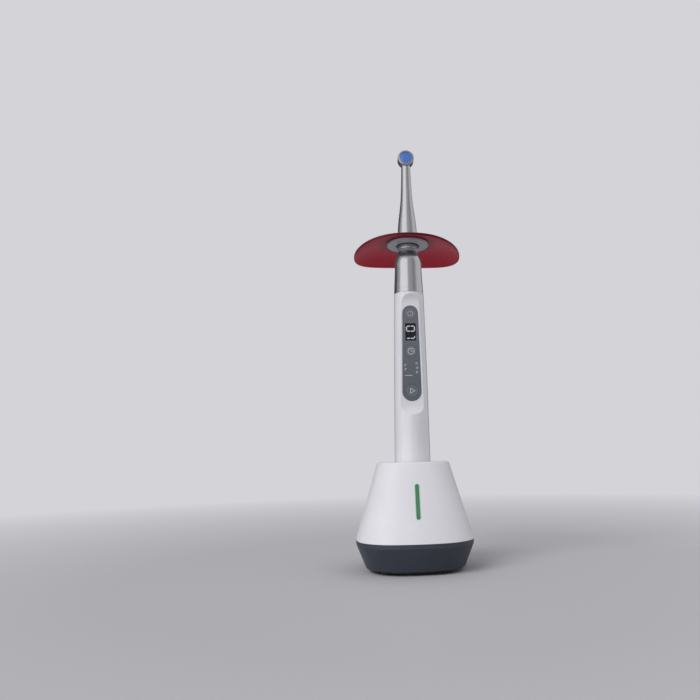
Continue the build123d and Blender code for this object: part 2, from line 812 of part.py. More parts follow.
# Nose of the handle
bush_radius = swivel_radius + running_gap + bush_wall
hollow_top_z = nose_z + nose_hollow_height
nose_cone = turned(
    *chain((0, nose_top_z), (0, nose_z), (nose_low_radius, nose_z)),
    Line((nose_low_radius, nose_z), (nose_bend_radius, nose_z + nose_bend_height)),
    ThreePointArc((nose_bend_radius, nose_z + nose_bend_height),
                  (nose_shoulder_radius, nose_z + nose_shoulder_height),
                  (nose_top_radius, nose_top_z)),
    Line((nose_top_radius, nose_top_z), (0, nose_top_z)),
)
spigot_radius = handle_top_radius - handle_wall - part_gap
spigot = disc(spigot_radius, handle_top_z - nose_spigot_length, nose_z)
front_room = flat_cutter(flat_depth - flat_wall - part_gap, part_gap)
nose_cone += spigot - front_room
nose_cone -= disc(bush_radius + nose_hollow_gap, handle_top_z - nose_spigot_length, hollow_top_z)
nose_cone -= disc(bush_radius + seat_gap, nose_z, nose_top_z)

bush_low_z = nose_top_z - bush_length
swivel_bush = ring(bush_radius, swivel_radius + running_gap, bush_low_z, nose_top_z)
swivel_bush += ring(bush_radius + bush_flange, swivel_radius + running_gap,
                    bush_low_z, bush_low_z + bush_flange)
swivel_bush -= ring(bush_radius + 2 * bush_flange, bush_radius, hollow_top_z - seat_gap, nose_top_z)

swivel_seal = ring(ring_radius, swivel_radius + part_gap, ring_z, ring_z + ring_height)
groove_z = ring_z + (ring_height - ring_groove_height) / 2
swivel_seal -= ring(ring_radius + ring_groove, ring_radius - ring_groove,
                    groove_z, groove_z + ring_groove_height)

# Light head
tube_collar = ring(collar_radius, swivel_radius + seat_gap, collar_z, collar_top_z)
tube_collar = chamfer(
    tube_collar.edges().filter_by(GeomType.CIRCLE).sort_by(SortBy.RADIUS)[-2:], collar_chamfer
)
head_housing = drum(head_radius, -head_depth / 2, head_depth / 2, 0, head_z)
head_housing = fillet(head_housing.edges().sort_by(Axis.Y)[0], head_front_edge)
head_housing = fillet(head_housing.edges().sort_by(Axis.Y)[-1], head_back_edge)
housing_block = head_housing
head_housing -= drum(head_cavity_radius, -head_depth / 2, -head_depth / 2 + head_cavity_depth,
                     0, head_z)
wire_places = (-wire_spacing / 2, wire_spacing / 2)
for x in wire_places:
    head_housing -= disc(wire_groove_radius, head_z - head_radius, head_z, x)

tube_low_z = collar_top_z + tube_seat_height
head_tube = turned(
    *chain((0, collar_top_z), (tube_seat_radius, collar_top_z), (tube_seat_radius, tube_low_z)),
    Spline((tube_seat_radius, tube_low_z),
           (tube_flare_radius, collar_top_z + tube_flare_height),
           (tube_slim_radius, collar_top_z + tube_slim_height),
           (tube_top_radius, head_z), tangents=[(0, 1), (0, 1)]),
    *chain((tube_top_radius, head_z), (0, head_z), (0, collar_top_z)),
)
head_tube -= housing_block
head_tube += disc(swivel_radius, swivel_low_z, collar_top_z)
groove_low_z = bush_low_z - clip_lift - clip_height
head_tube -= ring(swivel_radius + seat_gap, swivel_radius - clip_groove,
                  groove_low_z, groove_low_z + clip_height)
head_tube -= disc(tube_bore_radius, swivel_low_z, head_z)
clip_low_z = groove_low_z + seat_gap
retaining_clip = ring(swivel_radius + clip_width, swivel_radius - clip_groove + seat_gap,
                      clip_low_z, clip_low_z + clip_height - 2 * seat_gap)
retaining_clip -= block((0, 2 * swivel_radius), (-clip_gap_width / 2, clip_gap_width / 2),
                        (clip_low_z, clip_low_z + clip_height))

contact_plug = disc(plug_body_radius, plug_low_z, swivel_low_z)
plug_pin = disc(plug_pin_radius, plug_low_z - plug_pin_length, plug_low_z)
contact_plug += chamfer(plug_pin.edges().sort_by(Axis.Z)[0], plug_pin_radius / 2)

rod_top_z = head_z - head_cavity_radius
heat_rod = disc(tube_bore_radius - seat_gap, rod_top_z - heat_rod_length, rod_top_z)
heat_rod -= Part() + [
    disc(wire_groove_radius, rod_top_z - heat_rod_length, rod_top_z, x)
    for x in (-tube_bore_radius + wire_groove_radius, tube_bore_radius - wire_groove_radius)
]
heat_rod -= housing_block
lead_wires = Part() + [disc(wire_radius, swivel_low_z, rod_top_z - seat_gap, x) for x in wire_places]

mouth_y = -head_depth / 2
bezel_front_y = mouth_y - bezel_proud
bezel_ring = drum(head_cavity_radius - seat_gap, bezel_front_y, bezel_front_y + bezel_length, 0, head_z)
bezel_ring = fillet(bezel_ring.edges().sort_by(Axis.Y)[0], bezel_proud / 2)
bezel_ring -= drum(bezel_inner_radius, bezel_front_y, bezel_front_y + bezel_length, 0, head_z)
lens_front_y = bezel_front_y + bezel_lip
bezel_ring -= drum(lens_radius + seat_gap, lens_front_y, bezel_front_y + bezel_length, 0, head_z)
crown_radius = bezel_inner_radius - seat_gap
lens_back_y = lens_front_y + lens_thickness
crown_sphere = (crown_radius**2 + lens_crown**2) / (2 * lens_crown)
crown = Pos(0, lens_front_y - lens_crown + crown_sphere, head_z) * Sphere(crown_sphere)
lens = drum(lens_radius, lens_front_y, lens_back_y, 0, head_z)
lens += crown & drum(crown_radius, lens_front_y - lens_crown, lens_back_y, 0, head_z)

reflector_front_y = reflector_back_y - reflector_length
reflector_radius = head_cavity_radius - seat_gap
reflector = drum(reflector_radius, reflector_front_y, reflector_back_y, 0, head_z)
cup = Plane((0, reflector_back_y, head_z), z_dir=(0, -1, 0))
mouth = Plane((0, reflector_front_y, head_z), z_dir=(0, -1, 0))
cup_mouth_radius = reflector_radius - reflector_wall
reflector -= loft([cup * Circle(reflector_back_radius), mouth * Circle(cup_mouth_radius)])
led_board = drum(head_cavity_radius - seat_gap, led_board_y, led_board_y + led_board_thickness,
                 0, head_z)
led_dies = Part() + [
    block((x - die_size / 2, x + die_size / 2), (led_board_y - die_thickness, led_board_y),
          (head_z + z - die_size / 2, head_z + z + die_size / 2))
    for x, z in corners(die_pitch / 2, die_pitch / 2)
]

# Shield
shield_grommet = fillet(disc(flange_radius, grommet_z, grommet_z + flange_thickness).edges(),
                        grommet_edge)
shield_grommet += fillet(disc(upper_flange_radius, upper_flange_z, grommet_top_z).edges(),
                         upper_flange_edge)
shield_grommet += disc(groove_radius, grommet_z, grommet_top_z)
shield_grommet -= disc(grommet_bore_radius, grommet_z, grommet_top_z)
shield_grommet -= disc(grommet_recess_radius, grommet_z, grommet_z + grommet_recess_depth)

plate_reach = plate_half_x - plate_flat_radius
droop_radius = (plate_reach**2 + plate_droop**2) / (2 * plate_droop)
droop_angle = asin(plate_reach / droop_radius)


def dome_point(share: float, lift: float) -> tuple:
    """A point on the drooping arc of the plate: its radius and height."""
    angle = droop_angle * share
    arc = droop_radius + lift
    return (plate_flat_radius + arc * sin(angle), plate_z - droop_radius + arc * cos(angle))


hub_radius = groove_radius + part_gap
low_arc = [dome_point(share, 0) for share in (0, 1 / 2, 1)]
high_arc = [dome_point(share, plate_thickness) for share in (1, 1 / 2, 0)]
shield_plate = turned(
    Line((hub_radius, plate_z), low_arc[0]), ThreePointArc(*low_arc), Line(low_arc[2], high_arc[0]),
    ThreePointArc(*high_arc), *chain(high_arc[2], (hub_radius, plate_z + plate_thickness),
                                     (hub_radius, plate_z)),
)
plate_outline = Pos(0, plate_offset, plate_z - 2 * plate_droop) * Ellipse(plate_half_x, plate_half_y)
shield_plate &= extrude(plate_outline, 3 * plate_droop)

nodes = {
    "base_cover": base_cover, "base_tray": base_tray, "charging_well": charging_well,
    "light_bar": light_bar, "indicator_board": indicator_board, "indicator_leds": indicator_leds,
    "charge_board": charge_board, "board_screws": board_screws, "pin_block": pin_block,
    "left_charge_pin": Pos(pin_places[0]) * charge_pin,
    "right_charge_pin": Pos(pin_places[1]) * charge_pin,
    "left_pin_spring": Pos(pin_places[0]) * pin_spring,
    "right_pin_spring": Pos(pin_places[1]) * pin_spring,
    "power_socket": power_socket, "ballast_plate": ballast_plate, "tray_screws": tray_screws,
    "rubber_feet": rubber_feet, "handle_shell": handle_shell, "tail_cap": tail_cap,
    "tail_seal": tail_seal, "tail_board": tail_board, "charge_pads": charge_pads,
    "battery_spring": battery_spring, "battery_cell": battery_cell, "cell_contact": cell_contact,
    "chassis": chassis, "main_board": main_board, "board_rivets": board_rivets,
    "processor_chip": processor_chip, "drive_inductor": drive_inductor, "buzzer": buzzer,
    "key_switches": key_switches, "key_panel": key_panel, "display_window": display_window,
    "display_module": display_module, "display_digits": display_digits,
    "contact_socket": contact_socket, "nose_cone": nose_cone, "swivel_bush": swivel_bush,
    "swivel_seal": swivel_seal, "head_tube": head_tube, "tube_collar": tube_collar,
    "retaining_clip": retaining_clip, "contact_plug": contact_plug, "lead_wires": lead_wires,
    "heat_rod": heat_rod, "head_housing": head_housing, "bezel_ring": bezel_ring, "lens": lens,
    "reflector": reflector, "led_board": led_board, "led_dies": led_dies,
    "shield_grommet": shield_grommet, "shield_plate": shield_plate,
}
for key_name, (key_z, radius) in keys.items():
    nodes[f"{key_name}_key"] = key_cap(key_z, radius)
    nodes[f"{key_name}_plunger"] = switch_plunger(key_z)

os.makedirs("parts", exist_ok=True)
for name, piece in nodes.items():
    piece.label = name
    export_step(piece, f"parts/{name}.step")
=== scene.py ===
import json
import logging
import math
from collections.abc import Iterable
from dataclasses import dataclass
from enum import Enum

import bmesh
import bpy
from mathutils import Matrix, Vector

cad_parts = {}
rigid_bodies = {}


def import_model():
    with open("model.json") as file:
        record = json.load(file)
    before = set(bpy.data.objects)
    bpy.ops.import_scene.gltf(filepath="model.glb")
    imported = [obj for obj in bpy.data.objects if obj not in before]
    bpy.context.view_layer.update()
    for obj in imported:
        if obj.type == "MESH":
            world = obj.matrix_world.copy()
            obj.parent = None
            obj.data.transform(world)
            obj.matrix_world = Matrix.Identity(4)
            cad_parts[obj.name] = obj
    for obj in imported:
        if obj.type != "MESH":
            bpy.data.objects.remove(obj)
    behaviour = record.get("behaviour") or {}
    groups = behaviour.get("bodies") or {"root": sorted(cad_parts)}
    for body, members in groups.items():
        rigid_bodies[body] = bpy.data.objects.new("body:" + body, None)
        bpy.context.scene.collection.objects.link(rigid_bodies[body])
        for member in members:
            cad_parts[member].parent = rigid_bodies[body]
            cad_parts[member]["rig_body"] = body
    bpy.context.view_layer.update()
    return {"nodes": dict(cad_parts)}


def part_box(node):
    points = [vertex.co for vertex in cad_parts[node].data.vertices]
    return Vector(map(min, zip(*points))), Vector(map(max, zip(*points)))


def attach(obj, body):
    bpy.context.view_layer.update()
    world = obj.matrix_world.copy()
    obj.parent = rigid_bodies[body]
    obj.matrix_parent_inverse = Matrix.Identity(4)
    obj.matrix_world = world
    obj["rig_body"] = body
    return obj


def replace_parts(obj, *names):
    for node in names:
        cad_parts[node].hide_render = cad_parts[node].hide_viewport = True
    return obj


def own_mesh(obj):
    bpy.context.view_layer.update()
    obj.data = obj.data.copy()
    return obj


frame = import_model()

# A pen-shaped dental curing light in its charging base, dressed around the CAD frame.
# Metres, +Z up, the key panel and the light bar face -Y.

seal_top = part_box("swivel_seal")[1].z
log = logging.getLogger("curing_light")
Colour = tuple[float, float, float]
Point = tuple[float, float]
MM = 0.001
WHOLE = (0.0, 1.0)
TOUCHING = 1e-9


def screen(red: float, green: float, blue: float) -> Colour:
    """Turns a colour as seen on screen into linear light.

    Args:
        red: Red from 0 to 255.
        green: Green from 0 to 255.
        blue: Blue from 0 to 255.

    Returns:
        The three linear values.
    """
    def linear(value: float) -> float:
        """One channel in linear light."""
        share = value / 255
        return share / 12.92 if share <= 0.04045 else ((share + 0.055) / 1.055) ** 2.4
    return linear(red), linear(green), linear(blue)


class Tree:
    """A node tree with short calls that add nodes and join their sockets."""

    def __init__(self, tree: bpy.types.NodeTree) -> None:
        """Empties the tree, ready for its own nodes."""
        self.tree = tree
        tree.nodes.clear()

    def add(self, kind: str, inputs: dict | None = None, **settings: object) -> bpy.types.Node:
        """Adds a node, sets its properties and fills its inputs.

        Args:
            kind: The node's type, without the leading ShaderNode.
            inputs: Sockets to join, or values to set, by socket name or number.
            settings: Properties of the node.

        Returns:
            The new node.
        """
        made = self.tree.nodes.new(f"ShaderNode{kind}")
        for name, value in settings.items():
            setattr(made, name, value)
        self.fill(made, inputs or {})
        return made

    def fill(self, node: bpy.types.Node, inputs: dict) -> None:
        """Joins sockets to a node's inputs, or sets their values.

        Args:
            node: The node to fill.
            inputs: Sockets or values, by socket name or number.
        """
        for key, value in inputs.items():
            socket = node.inputs[key]
            if isinstance(value, bpy.types.NodeSocket):
                self.tree.links.new(value, socket)
            elif isinstance(value, tuple) and socket.type == "RGBA":
                socket.default_value = (*value, 1.0)
            else:
                socket.default_value = value

    def effect(self, effect: "Effect", inputs: dict | None = None) -> bpy.types.Node:
        """Places a shared effect with its own values here.

        Args:
            effect: The effect whose node group is placed.
            inputs: The values, by socket name.

        Returns:
            The group node.
        """
        made = self.tree.nodes.new("ShaderNodeGroup")
        made.node_tree = effect.group()
        self.fill(made, inputs or {})
        return made

    def math(self, operation: str, first: object, second: object = 0.0) -> bpy.types.NodeSocket:
        """Adds a Math node on two sockets or numbers."""
        return self.add("Math", {0: first, 1: second}, operation=operation).outputs[0]

    def blend(self, share: object, low: object, high: object) -> bpy.types.NodeSocket:
        """Mixes two colours or sockets. A share of 1 gives the second one."""
        return self.add("Mix", {0: share, 6: low, 7: high}, data_type="RGBA").outputs[2]

    def span(self, value: object, source: Point, target: Point = WHOLE) -> bpy.types.NodeSocket:
        """Maps a value from one span to another, held at the ends."""
        made = self.add("MapRange", {0: value, 1: source[0], 2: source[1],
                                     3: target[0], 4: target[1]})
        return made.outputs[0]

    def place(self) -> bpy.types.NodeSocket:
        """The point on the part in its own frame, which moves with the piece."""
        return self.add("TexCoord").outputs["Object"]

    def along(self, axis: int) -> bpy.types.NodeSocket:
        """One coordinate of the point on the part."""
        return self.add("SeparateXYZ", {0: self.place()}).outputs[axis]

    def apart(self, value: object, level: float) -> bpy.types.NodeSocket:
        """How far a value is from a level."""
        return self.math("ABSOLUTE", self.math("SUBTRACT", value, level))

    def about(self, value: object, middle: float, spread: float) -> bpy.types.NodeSocket:
        """Turns a value from 0 to 1 into one that lies about a middle."""
        return self.span(value, WHOLE, (middle - spread, middle + spread))

    def relief(self, depth: float, height: object, normal: object = None) -> bpy.types.NodeSocket:
        """Adds a Bump node.

        Args:
            depth: The relief's depth.
            height: The socket of its height.
            normal: The socket of the normal it starts from, or None for the plain one.

        Returns:
            The new normal's socket.
        """
        inputs = {"Strength": 1.0, "Distance": depth, "Height": height}
        if normal is not None:
            inputs["Normal"] = normal
        return self.add("Bump", inputs).outputs[0]


def new_material(name: str) -> tuple[bpy.types.Material, Tree]:
    """A new material and its empty tree."""
    made = bpy.data.materials.new(name)
    made.use_nodes = True
    return made, Tree(made.node_tree)


# Shared effects


@dataclass(frozen=True)
class Effect:
    """A shader node group that more than one finish uses. It is built once."""

    name: str
    inputs: tuple[tuple[str, float], ...]
    outputs: tuple[tuple[str, str], ...]

    def group(self) -> bpy.types.NodeTree:
        """Finds the group, or builds it on first use.

        Returns:
            The node group.
        """
        found = bpy.data.node_groups.get(self.name)
        if found:
            return found
        made = bpy.data.node_groups.new(self.name, "ShaderNodeTree")
        for name, value in self.inputs:
            socket = made.interface.new_socket(name=name, in_out="INPUT",
                                               socket_type="NodeSocketFloat")
            socket.default_value = value
        for name, kind in self.outputs:
            made.interface.new_socket(name=name, in_out="OUTPUT", socket_type=kind)
        tree = Tree(made)
        start = made.nodes.new("NodeGroupInput").outputs
        end = made.nodes.new("NodeGroupOutput")
        tree.fill(end, self.make(tree, start))
        return made

    def make(self, tree: Tree, start: bpy.types.bpy_prop_collection) -> dict:
        """Adds the effect's nodes and returns what goes to each output, by name."""
        raise NotImplementedError


class FineGrain(Effect):
    """The fine texture that a mould leaves, at two sizes."""

    fine_step, fine_share = 3.1, 0.4

    def make(self, tree: Tree, start: bpy.types.bpy_prop_collection) -> dict:
        """Mixes coarse and fine noise into a height.

        Args:
            tree: The group's tree.
            start: The group's input sockets.

        Returns:
            What goes to each output, by name.
        """
        place = tree.place()
        coarse = tree.add("TexNoise", {"Vector": place, "Scale": start["Scale"],
                                       "Detail": 2.0, "Roughness": 0.55})
        fine_scale = tree.math("MULTIPLY", start["Scale"], self.fine_step)
        fine = tree.add("TexNoise", {"Vector": place, "Scale": fine_scale, "Detail": 1.0})
        lesser = tree.math("MULTIPLY", fine.outputs[0], self.fine_share)
        return {"Height": tree.math("ADD", coarse.outputs[0], lesser)}


class Smudges(Effect):
    """Soft blotches of handling, used to vary tone and gloss."""

    small_step = 6.0
    wide_share, small_share = 0.65, 0.35
    contrast = (0.36, 0.64)

    def make(self, tree: Tree, start: bpy.types.bpy_prop_collection) -> dict:
        """Two sizes of noise, stretched to the full span.

        Args:
            tree: The group's tree.
            start: The group's input sockets.

        Returns:
            What goes to each output, by name.
        """
        place = tree.place()
        wide = tree.add("TexNoise", {"Vector": place, "Scale": start["Scale"], "Detail": 3.0})
        small_scale = tree.math("MULTIPLY", start["Scale"], self.small_step)
        small = tree.add("TexNoise", {"Vector": place, "Scale": small_scale, "Detail": 4.0,
                                      "Roughness": 0.65})
        both = tree.math("ADD", tree.math("MULTIPLY", wide.outputs[0], self.wide_share),
                         tree.math("MULTIPLY", small.outputs[0], self.small_share))
        return {"Value": tree.span(both, self.contrast)}


class SoftEdge(Effect):
    """Rounds the shading over sharp edges and marks where those edges are."""

    samples = 4
    turned = (0.985, 0.8)

    def make(self, tree: Tree, start: bpy.types.bpy_prop_collection) -> dict:
        """Compares the rounded normal with the plain one.

        Args:
            tree: The group's tree.
            start: The group's input sockets.

        Returns:
            What goes to each output, by name.
        """
        bevel = tree.add("Bevel", {"Radius": start["Radius"]}, samples=self.samples)
        plain = tree.add("NewGeometry").outputs["Normal"]
        same = tree.add("VectorMath", {0: bevel.outputs[0], 1: plain}, operation="DOT_PRODUCT")
        return {"Normal": bevel.outputs[0], "Mask": tree.span(same.outputs["Value"], self.turned)}


class TurnedLines(Effect):
    """Fine tool lines that run round the Z axis."""

    contrast = (0.3, 0.7)

    def make(self, tree: Tree, start: bpy.types.bpy_prop_collection) -> dict:
        """Noise drawn out round the axis and fine along it.

        Args:
            tree: The group's tree.
            start: The group's input sockets.

        Returns:
            What goes to each output, by name.
        """
        stretch = tree.add("CombineXYZ", {0: start["Across"], 1: start["Across"],
                                          2: start["Along"]})
        drawn = tree.add("VectorMath", {0: tree.place(), 1: stretch.outputs[0]},
                         operation="MULTIPLY")
        lines = tree.add("TexNoise", {"Vector": drawn.outputs[0], "Scale": 1.0, "Detail": 3.0,
                                      "Roughness": 0.6})
        return {"Height": lines.outputs[0], "Value": tree.span(lines.outputs[0], self.contrast)}


class SettledDust(Effect):
    """A thin patchy dust on what faces up."""

    speckle_scale = 900.0
    facing_up, patches = (0.6, 1.0), (0.45, 0.75)

    def make(self, tree: Tree, start: bpy.types.bpy_prop_collection) -> dict:
        """Upward faces times a speckle.

        Args:
            tree: The group's tree.
            start: The group's input sockets.

        Returns:
            What goes to each output, by name.
        """
        normal = tree.add("NewGeometry").outputs["Normal"]
        upward = tree.span(tree.add("SeparateXYZ", {0: normal}).outputs[2], self.facing_up)
        speckle = tree.add("TexNoise", {"Vector": tree.place(), "Scale": self.speckle_scale,
                                        "Detail": 5.0, "Roughness": 0.75})
        dust = tree.math("MULTIPLY", upward, tree.span(speckle.outputs[0], self.patches))
        return {"Mask": tree.math("MULTIPLY", dust, start["Amount"])}


class BoardTracks(Effect):
    """Copper tracks and plated holes under solder mask."""

    pad_edge = (0.10, 0.07)

    def make(self, tree: Tree, start: bpy.types.bpy_prop_collection) -> dict:
        """Straight tracks from cell borders and round pads at cell middles.

        Args:
            tree: The group's tree.
            start: The group's input sockets.

        Returns:
            What goes to each output, by name.
        """
        place = tree.place()
        cells = tree.add("TexVoronoi", {"Vector": place, "Scale": start["Scale"],
                                        "Randomness": 0.6}, distance="CHEBYCHEV")
        pads = tree.span(cells.outputs["Distance"], self.pad_edge)
        lanes = tree.add("TexBrick", {"Vector": place, "Scale": start["Scale"],
                                      "Mortar Size": 0.035, "Mortar Smooth": 0.1,
                                      "Brick Width": 1.7, "Row Height": 0.45})
        return {"Tracks": lanes.outputs["Fac"], "Pads": pads}


FLOAT, VECTOR = "NodeSocketFloat", "NodeSocketVector"
FINE_GRAIN = FineGrain("fine_grain", (("Scale", 2500.0),), (("Height", FLOAT),))
SMUDGES = Smudges("smudges", (("Scale", 30.0),), (("Value", FLOAT),))
SOFT_EDGE = SoftEdge("soft_edge", (("Radius", 0.0002),), (("Normal", VECTOR), ("Mask", FLOAT)))
TURNED_LINES = TurnedLines("turned_lines", (("Across", 60.0), ("Along", 9000.0)),
                           (("Height", FLOAT), ("Value", FLOAT)))
SETTLED_DUST = SettledDust("settled_dust", (("Amount", 0.1),), (("Mask", FLOAT),))
BOARD_TRACKS = BoardTracks("board_tracks", (("Scale", 300.0),),
                           (("Tracks", FLOAT), ("Pads", FLOAT)))


# Finishes

DUST_TONE = screen(178, 176, 172)
PLASTIC_IOR = 1.5
COAT_ROUGHNESS = 0.12
SOFT_DEPTH = 2 * MM


@dataclass(frozen=True)
class Finish:
    """A surface finish. Its material is built once, on first use."""

    slot: str

    def material(self) -> bpy.types.Material:
        """Finds the material, or builds it.

        Returns:
            The finished material.
        """
        name = f"finish_{self.slot}"
        found = bpy.data.materials.get(name)
        if found:
            return found
        made, tree = new_material(name)
        shader = tree.add("BsdfPrincipled")
        tree.add("OutputMaterial", {"Surface": shader.outputs[0]})
        self.paint(tree, shader)
        return made

    def paint(self, tree: Tree, shader: bpy.types.Node) -> None:
        """Fills the material's tree, up to its Principled node."""
        raise NotImplementedError


@dataclass(frozen=True)
class Moulded(Finish):
    """Moulded plastic or rubber, with grain, edges paled by wear and painted highlight, and the odd
    smudge.
    """

    colour: Colour
    tint: Colour
    roughness: float = 0.4
    spread: float = 0.06
    grain: float = 2500.0
    depth: float = 0.02 * MM
    edge: Colour | None = None
    edge_share: float = 0.5
    edge_radius: float = 0.15 * MM
    coat: float = 0.0
    sheen: float = 0.0
    subsurface: float = 0.0
    smudge_scale: float = 40.0
    dust: float = 0.0

    def paint(self, tree: Tree, shader: bpy.types.Node) -> None:
        """Mixes tone, gloss and grain into the shader.

        Args:
            tree: The material's tree.
            shader: Its Principled node.
        """
        smudge = tree.effect(SMUDGES, {"Scale": self.smudge_scale}).outputs["Value"]
        soft = tree.effect(SOFT_EDGE, {"Radius": self.edge_radius})
        grain = tree.effect(FINE_GRAIN, {"Scale": self.grain})
        colour = tree.blend(smudge, self.colour, self.tint)
        # Paler at sharp edges: partly wear, partly a painted highlight along the edge.
        if self.edge:
            edge_wear_and_highlight = tree.math("MULTIPLY", soft.outputs["Mask"], self.edge_share)
            colour = tree.blend(edge_wear_and_highlight, colour, self.edge)
        if self.dust:
            dust = tree.effect(SETTLED_DUST, {"Amount": self.dust}).outputs["Mask"]
            colour = tree.blend(dust, colour, DUST_TONE)
        normal = tree.relief(self.depth, grain.outputs["Height"], soft.outputs["Normal"])
        tree.fill(shader, {"Base Color": self.detail(tree, colour), "Normal": normal,
                           "Roughness": tree.about(smudge, self.roughness, self.spread),
                           "Coat Weight": self.coat, "Coat Roughness": COAT_ROUGHNESS,
                           "Sheen Weight": self.sheen, "IOR": PLASTIC_IOR,
                           "Subsurface Weight": self.subsurface, "Subsurface Scale": SOFT_DEPTH})

    def detail(self, tree: Tree, colour: bpy.types.NodeSocket) -> bpy.types.NodeSocket:
        """Adds to the colour what a kind of moulded finish has besides, here nothing."""
        return colour


@dataclass(frozen=True)
class TwoTone(Moulded):
    """A moulded finish that changes to another colour towards its upper end."""

    upper: Colour = (0.15, 0.17, 0.19)
    low_z: float = 0.104
    high_z: float = 0.168

    def detail(self, tree: Tree, colour: bpy.types.NodeSocket) -> bpy.types.NodeSocket:
        """Fades the colour up the part."""
        return tree.blend(tree.span(tree.along(2), (self.low_z, self.high_z)), colour, self.upper)


@dataclass(frozen=True)
class SolderMask(Moulded):
    """A circuit board: solder mask over copper tracks, with plated holes."""

    track: Colour = (0.05, 0.28, 0.13)
    pad: Colour = (0.75, 0.6, 0.32)
    scale: float = 300.0

    def detail(self, tree: Tree, colour: bpy.types.NodeSocket) -> bpy.types.NodeSocket:
        """Draws the tracks and pads.

        Args:
            tree: The material's tree.
            colour: The colour so far.

        Returns:
            The colour with the detail.
        """
        copper = tree.effect(BOARD_TRACKS, {"Scale": self.scale})
        tracked = tree.blend(copper.outputs["Tracks"], colour, self.track)
        return tree.blend(copper.outputs["Pads"], tracked, self.pad)


@dataclass(frozen=True)
class ShrinkSleeve(Moulded):
    """The sleeve of the cell, with a pale line near each end and a bare metal button."""

    band: Colour = (0.75, 0.76, 0.78)
    low_z: float = 39.8 * MM
    high_z: float = 89.8 * MM
    inset: float = 6 * MM
    line_edge: Point = (0.9 * MM, 0.8 * MM)
    button: float = 0.1 * MM

    def detail(self, tree: Tree, colour: bpy.types.NodeSocket) -> bpy.types.NodeSocket:
        """Draws the lines and bares the metal button.

        Args:
            tree: The material's tree.
            colour: The colour so far.

        Returns:
            The colour with the detail.
        """
        height = tree.along(2)
        for level in (self.low_z + self.inset, self.high_z - self.inset):
            line = tree.span(tree.apart(height, level), self.line_edge)
            colour = tree.blend(line, colour, self.band)
        bare = tree.span(height, (self.high_z - self.button, self.high_z))
        return tree.blend(bare, colour, self.band)


@dataclass(frozen=True)
class Metal(Finish):
    """Bare or plated metal, turned, drawn or polished."""

    colour: Colour
    tint: Colour
    roughness: float = 0.25
    spread: float = 0.05
    across: float = 60.0
    along: float = 9000.0
    depth: float = 0.004 * MM
    edge: Colour = (0.9, 0.9, 0.92)
    edge_share: float = 0.4
    edge_radius: float = 0.12 * MM
    anisotropic: float = 0.0
    smudge_scale: float = 55.0
    line_share: float = 0.5

    def paint(self, tree: Tree, shader: bpy.types.Node) -> None:
        """Mixes tool lines, handling and painted edge highlights into the shader.

        Args:
            tree: The material's tree.
            shader: Its Principled node.
        """
        lines = tree.effect(TURNED_LINES, {"Across": self.across, "Along": self.along})
        smudge = tree.effect(SMUDGES, {"Scale": self.smudge_scale}).outputs["Value"]
        soft = tree.effect(SOFT_EDGE, {"Radius": self.edge_radius})
        colour = tree.blend(lines.outputs["Value"], self.colour, self.tint)
        # Painted highlight: a lighter colour along sharp edges.
        edge_highlight = tree.math("MULTIPLY", soft.outputs["Mask"], self.edge_share)
        colour = tree.blend(edge_highlight, colour, self.edge)
        both = tree.math("ADD", tree.math("MULTIPLY", lines.outputs["Value"], self.line_share),
                         tree.math("MULTIPLY", smudge, 1 - self.line_share))
        normal = tree.relief(self.depth, lines.outputs["Height"], soft.outputs["Normal"])
        tree.fill(shader, {"Base Color": colour, "Normal": normal, "Metallic": 1.0,
                           "Roughness": tree.about(both, self.roughness, self.spread),
                           "Anisotropic": self.anisotropic})


@dataclass(frozen=True)
class Clear(Finish):
    """Clear or tinted plastic and glass."""

    colour: Colour
    tint: Colour
    roughness: float = 0.06
    spread: float = 0.03
    ior: float = 1.49
    transmission: float = 1.0
    coat: float = 0.0
    glow: Colour | None = None
    glow_strength: float = 0.0
    rim_share: float = 0.6
    # Painted shade for faces that stand upright.
    side: Colour | None = None
    depth: float = 0.004 * MM
    smudge_scale: float = 60.0
    inner: Colour | None = None
    inner_span: Point = (22 * MM, 13 * MM)
    specular: float = 0.5
    grain: float = 400.0
    smudge_share: float = 0.25
    rim_radius: float = 0.2 * MM
    upright: Point = (0.45, 0.3)

    def paint(self, tree: Tree, shader: bpy.types.Node) -> None:
        """Mixes tone, handling marks and a faint waviness into the shader.

        Args:
            tree: The material's tree.
            shader: Its Principled node.
        """
        smudge = tree.effect(SMUDGES, {"Scale": self.smudge_scale}).outputs["Value"]
        grain = tree.effect(FINE_GRAIN, {"Scale": self.grain})
        share = tree.math("MULTIPLY", smudge, self.smudge_share)
        start = None
        # Painted light at sharp rims: where the tint is lighter it is a painted highlight, where it
        # is darker it is painted shade.
        if self.rim_share:
            soft = tree.effect(SOFT_EDGE, {"Radius": self.rim_radius})
            rim = tree.math("MULTIPLY", soft.outputs["Mask"], self.rim_share)
            share = tree.math("MAXIMUM", rim, share)
            start = soft.outputs["Normal"]
        colour = tree.blend(share, self.colour, self.tint)
        # Painted shade: darker towards the tube's axis, round the grommet's hub.
        if self.inner:
            level = tree.add("VectorMath", {0: tree.place(), 1: (1.0, 1.0, 0.0)},
                             operation="MULTIPLY")
            away = tree.add("VectorMath", {0: level.outputs[0]}, operation="LENGTH")
            near = tree.span(away.outputs["Value"], self.inner_span)
            colour = tree.blend(near, colour, self.inner)
        # Painted shade: darker on faces that stand upright, such as the sheet's rim.
        if self.side:
            facing = tree.add("SeparateXYZ", {0: tree.add("TexCoord").outputs["Normal"]})
            level = tree.math("ABSOLUTE", facing.outputs[2])
            colour = tree.blend(tree.span(level, self.upright), colour, self.side)
        tree.fill(shader, {"Base Color": colour, "IOR": self.ior, "Coat Weight": self.coat,
                           "Normal": tree.relief(self.depth, grain.outputs["Height"], start),
                           "Roughness": tree.about(smudge, self.roughness, self.spread),
                           "Transmission Weight": self.transmission,
                           "Specular IOR Level": self.specular})
        if self.glow:
            tree.fill(shader, {"Emission Color": tree.blend(smudge, self.glow, self.colour),
                               "Emission Strength": self.glow_strength})


